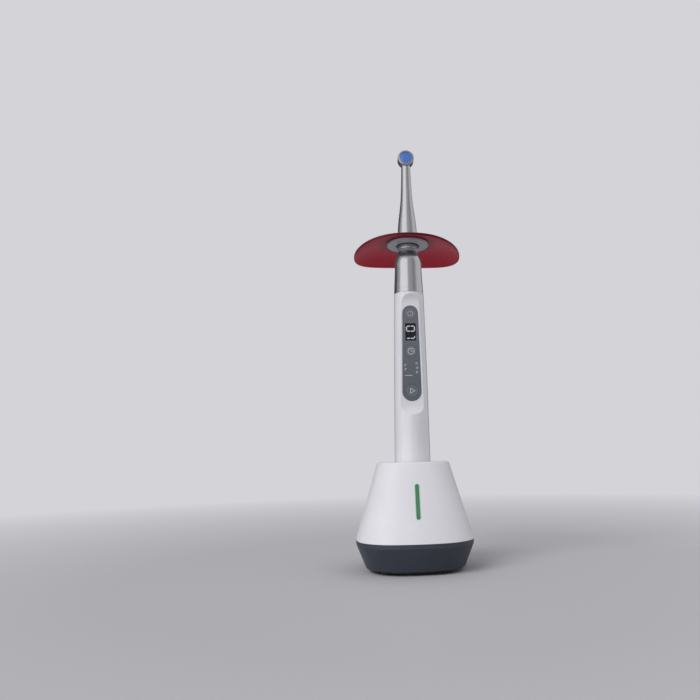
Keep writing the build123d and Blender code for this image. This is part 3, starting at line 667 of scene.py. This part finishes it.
@dataclass(frozen=True)
class Lit(Finish):
    """A lit plastic part that is brightest away from its ends."""

    colour: Colour
    glow: Colour
    far_glow: Colour
    strength: float
    axis: int = 2
    middle: float = 0.0
    reach: float = 10 * MM
    core: float = 0.45
    roughness: float = 0.3
    spread: float = 0.06
    smudge_scale: float = 220.0
    smudge_share: float = 0.15
    grain: float = 1800.0
    depth: float = 0.01 * MM
    edge_radius: float = 0.15 * MM

    def paint(self, tree: Tree, shader: bpy.types.Node) -> None:
        """Fades the glow along the part's axis.

        Args:
            tree: The material's tree.
            shader: Its Principled node.
        """
        away = tree.apart(tree.along(self.axis), self.middle)
        share = tree.span(away, (self.reach * self.core, self.reach))
        smudge = tree.effect(SMUDGES, {"Scale": self.smudge_scale}).outputs["Value"]
        grain = tree.effect(FINE_GRAIN, {"Scale": self.grain})
        soft = tree.effect(SOFT_EDGE, {"Radius": self.edge_radius})
        glow = tree.blend(share, self.glow, self.far_glow)
        glow = tree.blend(tree.math("MULTIPLY", smudge, self.smudge_share), glow, self.colour)
        normal = tree.relief(self.depth, grain.outputs["Height"], soft.outputs["Normal"])
        tree.fill(shader, {"Base Color": tree.blend(smudge, self.colour, self.glow),
                           "Roughness": tree.about(smudge, self.roughness, self.spread),
                           "Normal": normal, "Emission Color": glow,
                           "Emission Strength": self.strength})


class Slot(Enum):
    """Each material slot of the record, with the finish that it gets."""

    WHITE_COVER = Moulded("white_cover", screen(226, 225, 230), screen(222, 221, 226), 0.45, 0.05,
                          1500, 0.006 * MM, screen(236, 236, 239), 0.5, 0.25 * MM,
                          subsurface=0.05, dust=0.05)
    WHITE_HANDLE = Moulded("white_handle", screen(224, 223, 229), screen(219, 218, 224), 0.15, 0.03,
                           1700, 0.003 * MM, screen(234, 234, 238), 0.5, 0.15 * MM, 0.35,
                           subsurface=0.05)
    SLATE_TRAY = Moulded("slate_tray", screen(51, 56, 68), screen(46, 51, 62), 0.5, 0.06,
                         4200, 0.03 * MM, screen(80, 84, 97), 0.55, 0.2 * MM, dust=0.08)
    WELL_PLASTIC = Moulded("well_plastic", screen(214, 214, 218), screen(205, 205, 210), 0.42, 0.06,
                           2600, 0.012 * MM, screen(228, 228, 231), 0.5, dust=0.2)
    BLACK_PLASTIC = Moulded("black_plastic", screen(38, 38, 41), screen(30, 30, 33), 0.45, 0.08,
                            3800, 0.02 * MM, screen(72, 72, 76), 0.6)
    RUBBER = Moulded("rubber", screen(46, 46, 50), screen(38, 38, 42), 0.72, 0.07,
                     3000, 0.04 * MM, screen(76, 76, 80), 0.5, sheen=0.15, dust=0.15)
    GROMMET_SILICONE = Moulded("grommet_silicone", screen(156, 157, 161), screen(145, 146, 151),
                               0.34, 0.07, 2600, 0.012 * MM, screen(186, 187, 191), 0.6,
                               0.3 * MM, 0.15, sheen=0.1)
    RING_BLACK = TwoTone("ring_black", screen(26, 26, 29), screen(20, 20, 23), 0.16, 0.04,
                         2400, 0.004 * MM, screen(52, 52, 56), 0.4, coat=0.2,
                         upper=screen(150, 151, 155), low_z=seal_top - 1.45 * MM,
                         high_z=seal_top - 1.4 * MM)
    DISPLAY_BLACK = Moulded("display_black", screen(15, 15, 18), screen(10, 10, 12), 0.12, 0.03,
                            3000, 0.002 * MM)
    WIRE_SHEATH = Moulded("wire_sheath", screen(160, 34, 36), screen(140, 26, 30), 0.4, 0.06,
                          4000, 0.01 * MM)
    KEY_GREY = TwoTone("key_grey", screen(92, 98, 106), screen(86, 92, 100), 0.36, 0.05,
                       3600, 0.008 * MM, screen(140, 146, 153), 0.55, 0.12 * MM, 0.1,
                       upper=screen(104, 108, 115))
    PANEL_GREY = TwoTone("panel_grey", screen(84, 90, 99), screen(79, 85, 93), 0.4, 0.05,
                         4000, 0.008 * MM, screen(134, 139, 146), 0.5, 0.12 * MM, 0.1,
                         upper=screen(98, 102, 109))
    CIRCUIT_BOARD = SolderMask("circuit_board", screen(18, 92, 58), screen(14, 78, 49), 0.34, 0.06,
                               3000, 0.006 * MM, screen(140, 150, 110), 0.5, coat=0.3)
    CELL_SLEEVE = ShrinkSleeve("cell_sleeve", screen(38, 84, 150), screen(32, 74, 138), 0.26, 0.06,
                               900, 0.01 * MM, screen(90, 130, 185), 0.4, coat=0.3)
    POLISHED_ALUMINIUM = Metal("polished_aluminium", screen(170, 170, 172), screen(160, 160, 163),
                               0.24, 0.05, edge=screen(200, 200, 202), anisotropic=0.35)
    HEAD_METAL = Metal("head_metal", screen(160, 160, 163), screen(152, 152, 155), 0.2, 0.04,
                       400.0, 2500.0, 0.001 * MM, screen(196, 196, 199))
    GOLD_CONTACT = Metal("gold_contact", screen(236, 200, 120), screen(222, 182, 98), 0.2, 0.06,
                         300.0, 6000.0, edge=screen(250, 226, 160))
    SPRING_STEEL = Metal("spring_steel", screen(190, 190, 194), screen(172, 172, 177), 0.26, 0.07,
                         1500.0, 1500.0)
    SCREW_STEEL = Metal("screw_steel", screen(186, 187, 190), screen(166, 167, 172), 0.32, 0.08,
                        500.0, 5000.0)
    BALLAST_STEEL = Metal("ballast_steel", screen(150, 151, 155), screen(124, 125, 130), 0.46, 0.1,
                          2500.0, 200.0, 0.02 * MM)
    COPPER = Metal("copper", screen(206, 140, 104), screen(184, 116, 82), 0.3, 0.08,
                   150.0, 7000.0, edge=screen(236, 180, 146))
    BRONZE = Metal("bronze", screen(184, 152, 104), screen(160, 130, 86), 0.42, 0.08,
                   2600.0, 2600.0, 0.02 * MM, screen(214, 186, 138))
    REFLECTOR_MIRROR = Metal("reflector_mirror", screen(232, 232, 236), screen(224, 224, 229),
                             0.07, 0.03, 300.0, 900.0, 0.002 * MM)
    # The darker tint at the window's rim is painted shade.
    WINDOW_CLEAR = Clear("window_clear", screen(128, 131, 137), screen(104, 107, 113), 0.05, 0.02,
                         1.35)
    # The lighter tint at the lens rim is a painted highlight.
    LENS_GLASS = Clear("lens_glass", screen(50, 94, 158), screen(130, 164, 208), 0.08, 0.03,
                       1.5, 0.15, 0.1, screen(18, 62, 142), 0.55)
    # The side colour and the colour near the hub are painted shade on the sheet's rim and round the
    # grommet.
    SHIELD_RED = Clear("shield_red", screen(198, 54, 72), screen(152, 38, 54), 0.3, 0.05,
                       1.35, 0.25, rim_share=0.0, side=screen(74, 28, 40), depth=0.0003 * MM,
                       smudge_scale=22.0, inner=screen(108, 30, 46), specular=0.12)
    GREEN_GUIDE = Lit("green_guide", screen(62, 98, 74), screen(60, 112, 82), screen(40, 70, 52),
                      0.3, middle=0.0415, reach=0.0115)
    LED_WHITE = Lit("led_white", screen(225, 226, 215), screen(170, 205, 240),
                    screen(150, 190, 235), 0.4, axis=0, reach=0.004)
    DIGIT_GLOW = Lit("digit_glow", screen(232, 232, 234), screen(240, 240, 241),
                     screen(228, 228, 231), 2.4, middle=0.1498, reach=0.009)

    @staticmethod
    def named(slot: str) -> "Slot":
        """The member for a slot of the record."""
        return Slot[slot.upper()]


# Painted highlight: the pale ring round each key stands in for light on the key's rim.
KEY_RIM_HIGHLIGHT = Moulded("key_rim_highlight", screen(164, 169, 175), screen(156, 161, 168), 0.4, 0.05,
                     3600, 0.004 * MM)
PRINT_BRIGHT = Moulded("print_bright", screen(226, 229, 233), screen(218, 222, 227), 0.4, 0.05,
                       3600, 0.004 * MM)
# Painted glow: a halo of the light bar's light on the cover round it.
BAR_HALO = Lit("bar_halo", screen(150, 190, 165), screen(120, 185, 145), screen(105, 160, 128),
               0.35, middle=0.0415, reach=0.013)


# Mesh helpers


def add_object(name: str, data: bpy.types.ID) -> bpy.types.Object:
    """Links a new object to the scene."""
    made = bpy.data.objects.new(name, data)
    bpy.context.scene.collection.objects.link(made)
    return made


def mesh_object(mesh: bmesh.types.BMesh, name: str,
                material: bpy.types.Material) -> bpy.types.Object:
    """Turns a bmesh into an object with one material.

    Args:
        mesh: The built mesh, which is freed.
        name: The object's name.
        material: Its material.

    Returns:
        The new object.
    """
    data = bpy.data.meshes.new(name)
    mesh.to_mesh(data)
    mesh.free()
    data.materials.append(material)
    return add_object(name, data)


def finish_mesh(mesh: bmesh.types.BMesh, name: str, body: str, finish: Finish) -> bpy.types.Object:
    """Turns a bmesh into a piece that rides on a CAD body.

    Args:
        mesh: The built mesh, in the row frame.
        name: The piece's name.
        body: The CAD body that it moves with.
        finish: Its finish.

    Returns:
        The new object.
    """
    bmesh.ops.recalc_face_normals(mesh, faces=mesh.faces)
    piece = mesh_object(mesh, name, finish.material())
    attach(piece, body)
    return piece


def arc(centre: Point, radius: float, start: float, end: float, steps: int = 48) -> list[Point]:
    """Points along an arc, in turns measured clockwise from the top.

    Args:
        centre: The arc's middle.
        radius: Its radius.
        start: Where it starts, as a share of a turn.
        end: Where it ends.
        steps: How many steps it has.

    Returns:
        The points.
    """
    angles = [math.tau * (start + (end - start) * k / steps) for k in range(steps + 1)]
    return [(centre[0] + radius * math.sin(a), centre[1] + radius * math.cos(a)) for a in angles]


def skin(mesh: bmesh.types.BMesh, rows: list[list[Vector]], looped: bool,
         smooth: bool = True) -> None:
    """Covers rows of points with faces. Each row is a closed outline.

    Args:
        mesh: The mesh to add to.
        rows: The outlines, with the same number of points each.
        looped: Whether the last row joins the first. Otherwise both ends are capped.
        smooth: Whether the faces are shaded smooth.
    """
    grid = [[mesh.verts.new(point) for point in row] for row in rows]
    pairs = list(zip(grid, grid[1:])) + ([(grid[-1], grid[0])] if looped else [])
    for first, second in pairs:
        for a in range(len(first)):
            b = (a + 1) % len(first)
            mesh.faces.new((first[a], first[b], second[b], second[a])).smooth = smooth
    if not looped:
        mesh.faces.new(grid[0])
        mesh.faces.new(grid[-1])


@dataclass(frozen=True)
class Stroke:
    """A raised printed line on a face that looks along -Y."""

    path: tuple[Point, ...]
    width: float
    closed: bool = False
    crown = 0.75

    def draw(self, mesh: bmesh.types.BMesh, front: float, thickness: float) -> None:
        """Adds the line to a mesh as a strip with sloped flanks.

        Args:
            mesh: The mesh to add to.
            front: The y of the face it lies on.
            thickness: How far it stands proud.
        """
        points = [Vector((x, 0.0, z)) for x, z in self.path]
        if self.closed and (points[0] - points[-1]).length < TOUCHING:
            points.pop()
        count = len(points)
        rows = []
        for k, point in enumerate(points):
            before = points[k - 1] if self.closed or k else point
            after = points[(k + 1) % count] if self.closed or k < count - 1 else point
            along = (after - before).normalized()
            side = Vector((-along.z, 0.0, along.x)) * self.width / 2
            top = Vector((0.0, -thickness, 0.0))
            crown = side * self.crown
            base = point + Vector((0.0, front, 0.0))
            rows.append([base - side, base - crown + top, base + crown + top, base + side])
        skin(mesh, rows, self.closed, False)


def body_of(node: str) -> str:
    """The body that a CAD node rides on."""
    return frame["nodes"][node]["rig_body"]


def dress(names: Iterable[str]) -> None:
    """Gives CAD nodes the finish of their record slot.

    Args:
        names: The CAD nodes to dress.
    """
    for name in names:
        node = frame["nodes"][name]
        for number, old in enumerate(node.data.materials):
            slot = old.name.split(".")[0]
            node.data.materials[number] = Slot.named(slot).value.material()


# Sub-assemblies


@dataclass
class SubAssembly:
    """Some CAD nodes that belong together, and the pieces made for them here."""

    nodes: tuple[str, ...] = ()

    def build(self) -> list[bpy.types.Object]:
        """Makes the sub-assembly's own pieces, here none."""
        return []

    def make(self) -> None:
        """Dresses the nodes, builds the pieces and reports them."""
        dress(self.nodes)
        pieces = self.build()
        log.info("%s: %d nodes dressed", type(self).__name__, len(self.nodes))
        for piece in pieces:
            log.info("%s: piece %s", type(self).__name__, piece.name)


@dataclass
class ChargingBase(SubAssembly):
    """The white cover on its slate tray, with what fills it."""

    nodes: tuple[str, ...] = ("base_cover", "base_tray", "charging_well", "ballast_plate",
                              "tray_screws", "rubber_feet")


@dataclass
class LightBar(SubAssembly):
    """The green light guide in the front of the base and its lamps."""

    nodes: tuple[str, ...] = ("light_bar", "indicator_board", "indicator_leds")
    middle: tuple[float, float, float] = (0.0, -29.84 * MM, 42.4 * MM)
    lean: float = math.atan2(13.8, 47.0)
    half_length: float = 10.5 * MM
    half_width: float = 1.15 * MM
    rim: float = 0.4 * MM
    proud: float = 0.05 * MM
    steps: int = 16

    def build(self) -> list[bpy.types.Object]:
        """A painted glow halo round the light bar: a thin pale rim that glows, on the leaning face.

        Returns:
            The glowing rim.
        """
        radius = self.half_width + self.rim / 2
        reach = self.half_length - self.half_width
        top = arc((0.0, reach), radius, -0.25, 0.25, self.steps)
        low = arc((0.0, -reach), radius, 0.25, 0.75, self.steps)
        mesh = bmesh.new()
        Stroke(tuple(top + low), self.rim, True).draw(mesh, 0.0, self.proud)
        turn = Matrix.Translation(self.middle) @ Matrix.Rotation(-self.lean, 4, "X")
        bmesh.ops.transform(mesh, matrix=turn, verts=mesh.verts)
        return [finish_mesh(mesh, "bar_halo", body_of("light_bar"), BAR_HALO)]


@dataclass
class ChargingContacts(SubAssembly):
    """The sprung pins, their block and board, and the power socket."""

    nodes: tuple[str, ...] = ("pin_block", "left_charge_pin", "right_charge_pin",
                              "left_pin_spring", "right_pin_spring", "charge_board",
                              "board_screws", "power_socket")
    wire: float = 0.15 * MM
    turns: float = 6.0
    closed_turns: float = 0.8
    travel: float = 0.8 * MM
    steps: int = 168
    around: int = 8

    def spring(self, side: str) -> bpy.types.Object:
        """A pin's wire spring with closed ends.

        Args:
            side: The pin's side, left or right.

        Returns:
            The new piece.
        """
        node = f"{side}_pin_spring"
        low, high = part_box(node)
        centre, height = (low + high) / 2, high.z - low.z
        radius = (high.x - low.x) / 2 - self.wire
        rise = height - 2 * self.wire
        flat = 2 * self.wire / rise
        round_wire = [math.tau * a / self.around for a in range(self.around)]
        rows = []
        for k in range(self.steps + 1):
            turn = self.turns * k / self.steps
            share = (turn - self.closed_turns) / (self.turns - 2 * self.closed_turns)
            climb = flat + (1 - 2 * flat) * min(max(share, 0.0), 1.0)
            climb -= flat * max(1 - turn / self.closed_turns, 0.0)
            climb += flat * max(1 - (self.turns - turn) / self.closed_turns, 0.0)
            angle = math.tau * turn
            out = Vector((math.cos(angle), math.sin(angle), 0.0))
            middle = Vector((centre.x, centre.y, low.z + self.wire + rise * climb)) + out * radius
            rows.append([middle + (out * math.cos(a) + Vector((0, 0, math.sin(a)))) * self.wire
                         for a in round_wire])
        mesh = bmesh.new()
        skin(mesh, rows, False)
        piece = finish_mesh(mesh, f"{side}_spring", body_of(node), Slot.SPRING_STEEL.value)
        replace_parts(piece, node)
        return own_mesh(piece)

    def build(self) -> list[bpy.types.Object]:
        """The springs under the two pins."""
        return [self.spring(side) for side in ("left", "right")]


@dataclass
class Handle(SubAssembly):
    """The white handle with its tail, cell and chassis."""

    nodes: tuple[str, ...] = ("handle_shell", "tail_cap", "tail_seal", "tail_board", "charge_pads",
                              "battery_spring", "battery_cell", "cell_contact", "chassis")


@dataclass
class Electronics(SubAssembly):
    """The main board behind the panel and what sits on it."""

    nodes: tuple[str, ...] = ("main_board", "board_rivets", "processor_chip", "drive_inductor",
                              "buzzer", "key_switches", "contact_socket", "power_plunger",
                              "timer_plunger", "start_plunger")


@dataclass
class Display(SubAssembly):
    """The two lit digits under their smoked window."""

    nodes: tuple[str, ...] = ("display_window", "display_module", "display_digits")


@dataclass
class KeyPanel(SubAssembly):
    """The slate panel, its three keys, what is printed on them and a painted highlight round each
    key's rim.
    """

    nodes: tuple[str, ...] = ("key_panel", "power_key", "timer_key", "start_key")
    print_depth: float = 0.03 * MM
    line: float = 0.3 * MM
    rim: float = 0.16 * MM
    key_rim: float = 3.4 * MM
    start_rim: float = 3.65 * MM
    power_radius: float = 1.65 * MM
    clock_radius: float = 2.0 * MM
    start_radius: float = 1.8 * MM
    mark_width: float = 0.34 * MM
    dot: float = 0.55 * MM
    ticks: tuple[tuple[Point, ...], ...] = (
        ((-3.2, 128.3), (-4.2, 128.3), (-4.2, 126.9)),
        ((-3.2, 125.5), (-4.2, 125.5), (-4.2, 124.1)),
        ((-4.4, 121.0), (0.4, 121.0)))
    dots: tuple[Point, ...] = ((3.4, 128.9), (3.7, 126.0), (3.5, 123.1))
    fine, bold, heavy = 0.8, 1.2, 2.2

    def middle(self, node: str) -> Point:
        """The x and z of the middle of a key's CAD node."""
        low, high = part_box(node)
        return (low.x + high.x) / 2, (low.z + high.z) / 2

    def icon(self, name: str, key: str, strokes: Iterable[Stroke],
             finish: Finish) -> bpy.types.Object:
        """A printed sign, or a painted rim highlight, on a key.

        Args:
            name: The piece's name.
            key: The key's CAD node.
            strokes: The lines that make up the sign.
            finish: The finish of the print or of the painted highlight.

        Returns:
            The new piece.
        """
        mesh = bmesh.new()
        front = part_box(key)[0].y
        for stroke in strokes:
            stroke.draw(mesh, front, self.print_depth)
        return finish_mesh(mesh, name, body_of(key), finish)

    def ring(self, key: str, radius: float) -> Stroke:
        """A painted highlight of a key's rim: a thin pale ring round the key's face."""
        return Stroke(tuple(arc(self.middle(key), radius, 0, 1, 72)), self.rim, True)

    def power_sign(self) -> list[Stroke]:
        """The open ring and bar of the usual power sign.

        Returns:
            Its strokes.
        """
        x, z = self.middle("power_key")
        r = self.power_radius
        width = self.line * self.fine
        return [Stroke(tuple(arc((x, z), r, 0.1, 0.9, 40)), width),
                Stroke(((x, z + 0.25 * r), (x, z + 1.2 * r)), width)]

    def clock_sign(self) -> list[Stroke]:
        """A plain clock face with two hands.

        Returns:
            Its strokes.
        """
        x, z = self.middle("timer_key")
        r = self.clock_radius
        width = self.line * self.bold
        return [Stroke(tuple(arc((x, z), r, 0, 1, 56)), width, True),
                Stroke(((x, z - 0.08 * r), (x, z + 0.66 * r)), width),
                Stroke(((x + 0.09 * r, z), (x + 0.5 * r, z)), width)]

    def start_sign(self) -> list[Stroke]:
        """A plain start arrow.

        Returns:
            Its stroke.
        """
        x, z = self.middle("start_key")
        r = self.start_radius
        tip, top, low = (x + r, z), (x - 0.55 * r, z + 0.9 * r), (x - 0.55 * r, z - 0.9 * r)
        return [Stroke((tip, top, low), self.line * self.heavy, True)]

    def marks(self) -> bpy.types.Object:
        """The small plain ticks and rings between the keys.

        Returns:
            The new piece.
        """
        mesh = bmesh.new()
        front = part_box("key_panel")[0].y
        for line in self.ticks:
            path = tuple((x * MM, z * MM) for x, z in line)
            Stroke(path, self.mark_width).draw(mesh, front, self.print_depth)
        for x, z in self.dots:
            path = tuple(arc((x * MM, z * MM), self.dot, 0, 1, 20))
            Stroke(path, self.mark_width * self.fine, True).draw(mesh, front, self.print_depth)
        body = body_of("key_panel")
        return finish_mesh(mesh, "panel_marks", body, PRINT_BRIGHT)

    def build(self) -> list[bpy.types.Object]:
        """A painted rim highlight and a printed sign on each key, and the marks between them.

        Returns:
            The new pieces.
        """
        pieces = []
        for name, rim, sign in (("power", self.key_rim, self.power_sign()),
                                ("timer", self.key_rim, self.clock_sign()),
                                ("start", self.start_rim, self.start_sign())):
            key = f"{name}_key"
            # The pale ring is a painted highlight of the key's rim; the sign is print.
            pieces.append(self.icon(f"{name}_ring", key, [self.ring(key, rim)], KEY_RIM_HIGHLIGHT))
            pieces.append(self.icon(f"{name}_sign", key, sign, PRINT_BRIGHT))
        return [*pieces, self.marks()]


@dataclass
class Nose(SubAssembly):
    """The turned cone at the handle's upper end and its swivel."""

    nodes: tuple[str, ...] = ("nose_cone", "swivel_bush", "swivel_seal", "retaining_clip",
                              "contact_plug")


@dataclass
class LightHead(SubAssembly):
    """The slender tube with the round head, its lens and lamp."""

    nodes: tuple[str, ...] = ("head_tube", "tube_collar", "lead_wires", "heat_rod", "head_housing",
                              "bezel_ring", "lens", "reflector", "led_board", "led_dies")


@dataclass
class Shield(SubAssembly):
    """The red sheet and the grommet that holds it on the tube."""

    nodes: tuple[str, ...] = ("shield_grommet", "shield_plate")
    bore: float = 9.2 * MM
    flat: float = 14.5 * MM
    half_x: float = 36.8 * MM
    half_y: float = 27.0 * MM
    offset: float = 8.0 * MM
    droop: float = 8.0 * MM
    thickness: float = 1.9 * MM
    edge: float = 0.6 * MM
    steps: int = 14
    count: int = 180
    rim_turns: tuple[float, ...] = (-0.375, -0.25, -0.125, 0.0, 0.125, 0.25, 0.375)
    rim_power: float = 0.6

    def reach(self, angle: float) -> float:
        """How far the sheet's oval outline is from the tube's axis.

        Args:
            angle: The direction, in radians from +X.

        Returns:
            The distance.
        """
        across, back = math.cos(angle) / self.half_x, math.sin(angle) / self.half_y
        lead = self.offset / self.half_y
        square = across ** 2 + back ** 2
        return (back * lead + math.sqrt((back * lead) ** 2 + square * (1 - lead ** 2))) / square

    def height(self, radius: float, lift: float) -> float:
        """The height of a face of the sheet over its flat middle's underside.

        Args:
            radius: The distance from the tube's axis.
            lift: How far the face lies from the underside.

        Returns:
            The height.
        """
        out = self.half_x - self.flat
        bend = (out ** 2 + self.droop ** 2) / (2 * self.droop)
        beyond = max(radius - self.flat, 0.0)
        return math.sqrt((bend + lift) ** 2 - beyond ** 2) - bend

    def sheet(self) -> bpy.types.Object:
        """The drooping oval sheet with its rounded rim.

        Returns:
            The new piece.
        """
        top_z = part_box("shield_plate")[1].z - self.thickness
        middle = self.thickness / 2
        rows = []
        for k in range(self.count):
            angle = math.tau * k / self.count
            rim = self.reach(angle) - self.edge
            radii = [self.bore + (rim - self.bore) * j / self.steps
                     for j in range(self.steps + 1)]
            section = [(r, self.height(r, 0.0)) for r in radii]
            for turn in self.rim_turns:
                lean = math.pi * turn
                r = rim + self.edge * math.cos(lean) ** self.rim_power
                section.append((r, self.height(r, middle + middle * math.sin(lean))))
            section += [(r, self.height(r, self.thickness)) for r in reversed(radii)]
            rows.append([Vector((r * math.cos(angle), r * math.sin(angle), top_z + z))
                         for r, z in section])
        mesh = bmesh.new()
        skin(mesh, rows, True)
        piece = finish_mesh(mesh, "red_sheet", body_of("shield_plate"), Slot.SHIELD_RED.value)
        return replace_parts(piece, "shield_plate")

    def build(self) -> list[bpy.types.Object]:
        """The red sheet, kept out of the bare metal's reflections."""
        sheet = self.sheet()
        sheet.visible_glossy = False
        return [sheet]


# Studio


@dataclass
class Studio:
    """The camera, lamps, floor and backdrop."""

    distance: float = 0.413
    height: float = 0.0675
    yaw: float = 4.8
    pitch: float = 9.849
    roll: float = 1.35
    lens: float = 32.3
    sensor: float = 36.0
    shift: float = -60 / 700
    near: float = 0.01
    far: float = 50.0
    backdrop: Colour = screen(212, 211, 216)
    floor_colour: Colour = screen(190, 189, 194)
    floor_radius: float = 6.0
    floor_sides: int = 96
    paper_roughness: float = 0.65
    paper_specular: float = 0.2
    fade: Point = (0.18, 0.8)
    fibre_scale: float = 900.0
    fibre_share: float = 0.12
    lamp_colour: Colour = screen(250, 250, 252)
    world_strength: float = 0.48
    suns: tuple[tuple[str, tuple[float, float, float], float, float], ...] = (
        ("key_lamp", (-1.05, -1.0, 1.1), 1.66, 35.0),
        ("fill_lamp", (0.9, -0.6, 0.9), 0.18, 60.0))
    cards: tuple[tuple[str, float, float, float], ...] = (
        ("main_softbox", -43.0, 34.0, 1.7), ("side_softbox", 94.0, 30.0, 1.0),
        ("dark_card_front", 42.0, 9.0, 0.4), ("dark_card_left", -145.0, 35.0, 0.13),
        ("dark_card_right", 160.0, 20.0, 0.1))
    card_distance: float = 0.9
    card_span: Point = (-0.2, 1.1)
    card_steps: int = 12

    def camera(self) -> None:
        """Puts the camera at the photograph's viewing angle."""
        yaw, pitch, roll = (math.radians(a) for a in (self.yaw, self.pitch, self.roll))
        ahead = Vector((math.sin(yaw) * math.cos(pitch), math.cos(yaw) * math.cos(pitch),
                        math.sin(pitch)))
        right = Vector((math.cos(yaw), -math.sin(yaw), 0.0))
        up = right.cross(ahead)
        across = right * math.cos(roll) - up * math.sin(roll)
        upward = right * math.sin(roll) + up * math.cos(roll)
        data = bpy.data.cameras.new("camera")
        data.lens, data.sensor_width = self.lens, self.sensor
        data.shift_x = self.shift
        data.clip_start, data.clip_end = self.near, self.far
        camera = add_object("camera", data)
        place = Vector((-self.distance * math.sin(yaw), -self.distance * math.cos(yaw),
                        self.height))
        turn = Matrix((across, upward, -ahead)).transposed()
        camera.matrix_world = Matrix.Translation(place) @ turn.to_4x4()
        bpy.context.scene.camera = camera

    def seen_ray(self, tree: Tree) -> bpy.types.NodeSocket:
        """One for rays that look at the backdrop directly, in a reflection or through glass.

        Args:
            tree: The tree to add to.

        Returns:
            The mask's socket.
        """
        path = tree.add("LightPath").outputs
        seen = tree.math("MAXIMUM", path["Is Camera Ray"], path["Is Glossy Ray"])
        return tree.math("MAXIMUM", seen, path["Is Transmission Ray"])

    def world(self) -> None:
        """A pale even world that shows the backdrop's colour."""
        world = bpy.data.worlds.new("studio")
        bpy.context.scene.world = world
        world.use_nodes = True
        tree = Tree(world.node_tree)
        lamp = tree.add("Background", {"Color": self.lamp_colour,
                                       "Strength": self.world_strength})
        shown = tree.add("Background", {"Color": self.backdrop, "Strength": 1.0})
        both = tree.add("MixShader", {0: self.seen_ray(tree), 1: lamp.outputs[0],
                                      2: shown.outputs[0]})
        tree.add("OutputWorld", {"Surface": both.outputs[0]})

    def floor(self) -> None:
        """A pale floor that fades into the backdrop."""
        mesh = bmesh.new()
        bmesh.ops.create_circle(mesh, cap_ends=True, segments=self.floor_sides,
                                radius=self.floor_radius)
        material, tree = new_material("floor_paper")
        mesh_object(mesh, "floor", material)
        place = tree.place()
        fibre = tree.add("TexNoise", {"Vector": place, "Scale": self.fibre_scale, "Detail": 4.0})
        tone = tree.blend(tree.math("MULTIPLY", fibre.outputs[0], self.fibre_share),
                          self.floor_colour, self.backdrop)
        paper = tree.add("BsdfPrincipled", {"Base Color": tone,
                                            "Roughness": self.paper_roughness,
                                            "Specular IOR Level": self.paper_specular})
        away = tree.add("VectorMath", {0: place}, operation="LENGTH").outputs["Value"]
        far = tree.math("MULTIPLY", tree.span(away, self.fade), self.seen_ray(tree))
        shown = tree.add("Emission", {"Color": self.backdrop, "Strength": 1.0})
        both = tree.add("MixShader", {0: far, 1: paper.outputs[0], 2: shown.outputs[0]})
        tree.add("OutputMaterial", {"Surface": both.outputs[0]})

    def sun(self, name: str, towards: tuple[float, float, float], strength: float,
            spread: float) -> None:
        """An even soft lamp. The cards take its place in reflections.

        Args:
            name: The lamp's name.
            towards: The direction from the object to the lamp.
            strength: Its strength.
            spread: Its apparent size in degrees, which sets how soft the shadow is.
        """
        data = bpy.data.lights.new(name, "SUN")
        data.energy, data.angle = strength, math.radians(spread)
        lamp = add_object(name, data)
        lamp.visible_glossy = False
        lamp.rotation_mode = "QUATERNION"
        lamp.rotation_quaternion = Vector(towards).to_track_quat("Z", "Y")

    def card(self, name: str, azimuth: float, half: float, brightness: float) -> None:
        """An upright curved card that only reflections see.

        Args:
            name: The card's name.
            azimuth: Where it stands, in degrees from -Y towards +X.
            half: Half its width in degrees.
            brightness: How bright it looks.
        """
        mesh = bmesh.new()
        rows = []
        for step in range(self.card_steps + 1):
            angle = math.radians(azimuth + half * (2 * step / self.card_steps - 1))
            x, y = self.card_distance * math.sin(angle), -self.card_distance * math.cos(angle)
            rows.append([mesh.verts.new((x, y, z)) for z in self.card_span])
        for first, second in zip(rows, rows[1:]):
            mesh.faces.new((first[0], second[0], second[1], first[1]))
        material, tree = new_material(name)
        card = mesh_object(mesh, name, material)
        for hidden in ("camera", "diffuse", "transmission", "volume_scatter", "shadow"):
            setattr(card, f"visible_{hidden}", False)
        shown = tree.add("Emission", {"Color": (1.0, 1.0, 1.0), "Strength": brightness})
        tree.add("OutputMaterial", {"Surface": shown.outputs[0]})

    def make(self) -> None:
        """Sets the whole studio up."""
        self.camera()
        self.world()
        self.floor()
        for sun in self.suns:
            self.sun(*sun)
        for card in self.cards:
            self.card(*card)
        bpy.context.scene.view_settings.view_transform = "Standard"


def main() -> None:
    """Builds the studio and every sub-assembly."""
    logging.basicConfig(level=logging.INFO, format="%(name)s %(message)s")
    Studio().make()
    parts: list[SubAssembly] = [
        ChargingBase(), LightBar(), ChargingContacts(), Handle(), Electronics(), Display(),
        KeyPanel(), Nose(), LightHead(), Shield(),
    ]
    for part in parts:
        part.make()
    missed = set(frame["nodes"]) - {name for part in parts for name in part.nodes}
    if missed:
        raise ValueError(f"no sub-assembly dresses {sorted(missed)}")


if __name__ == "__main__":
    main()
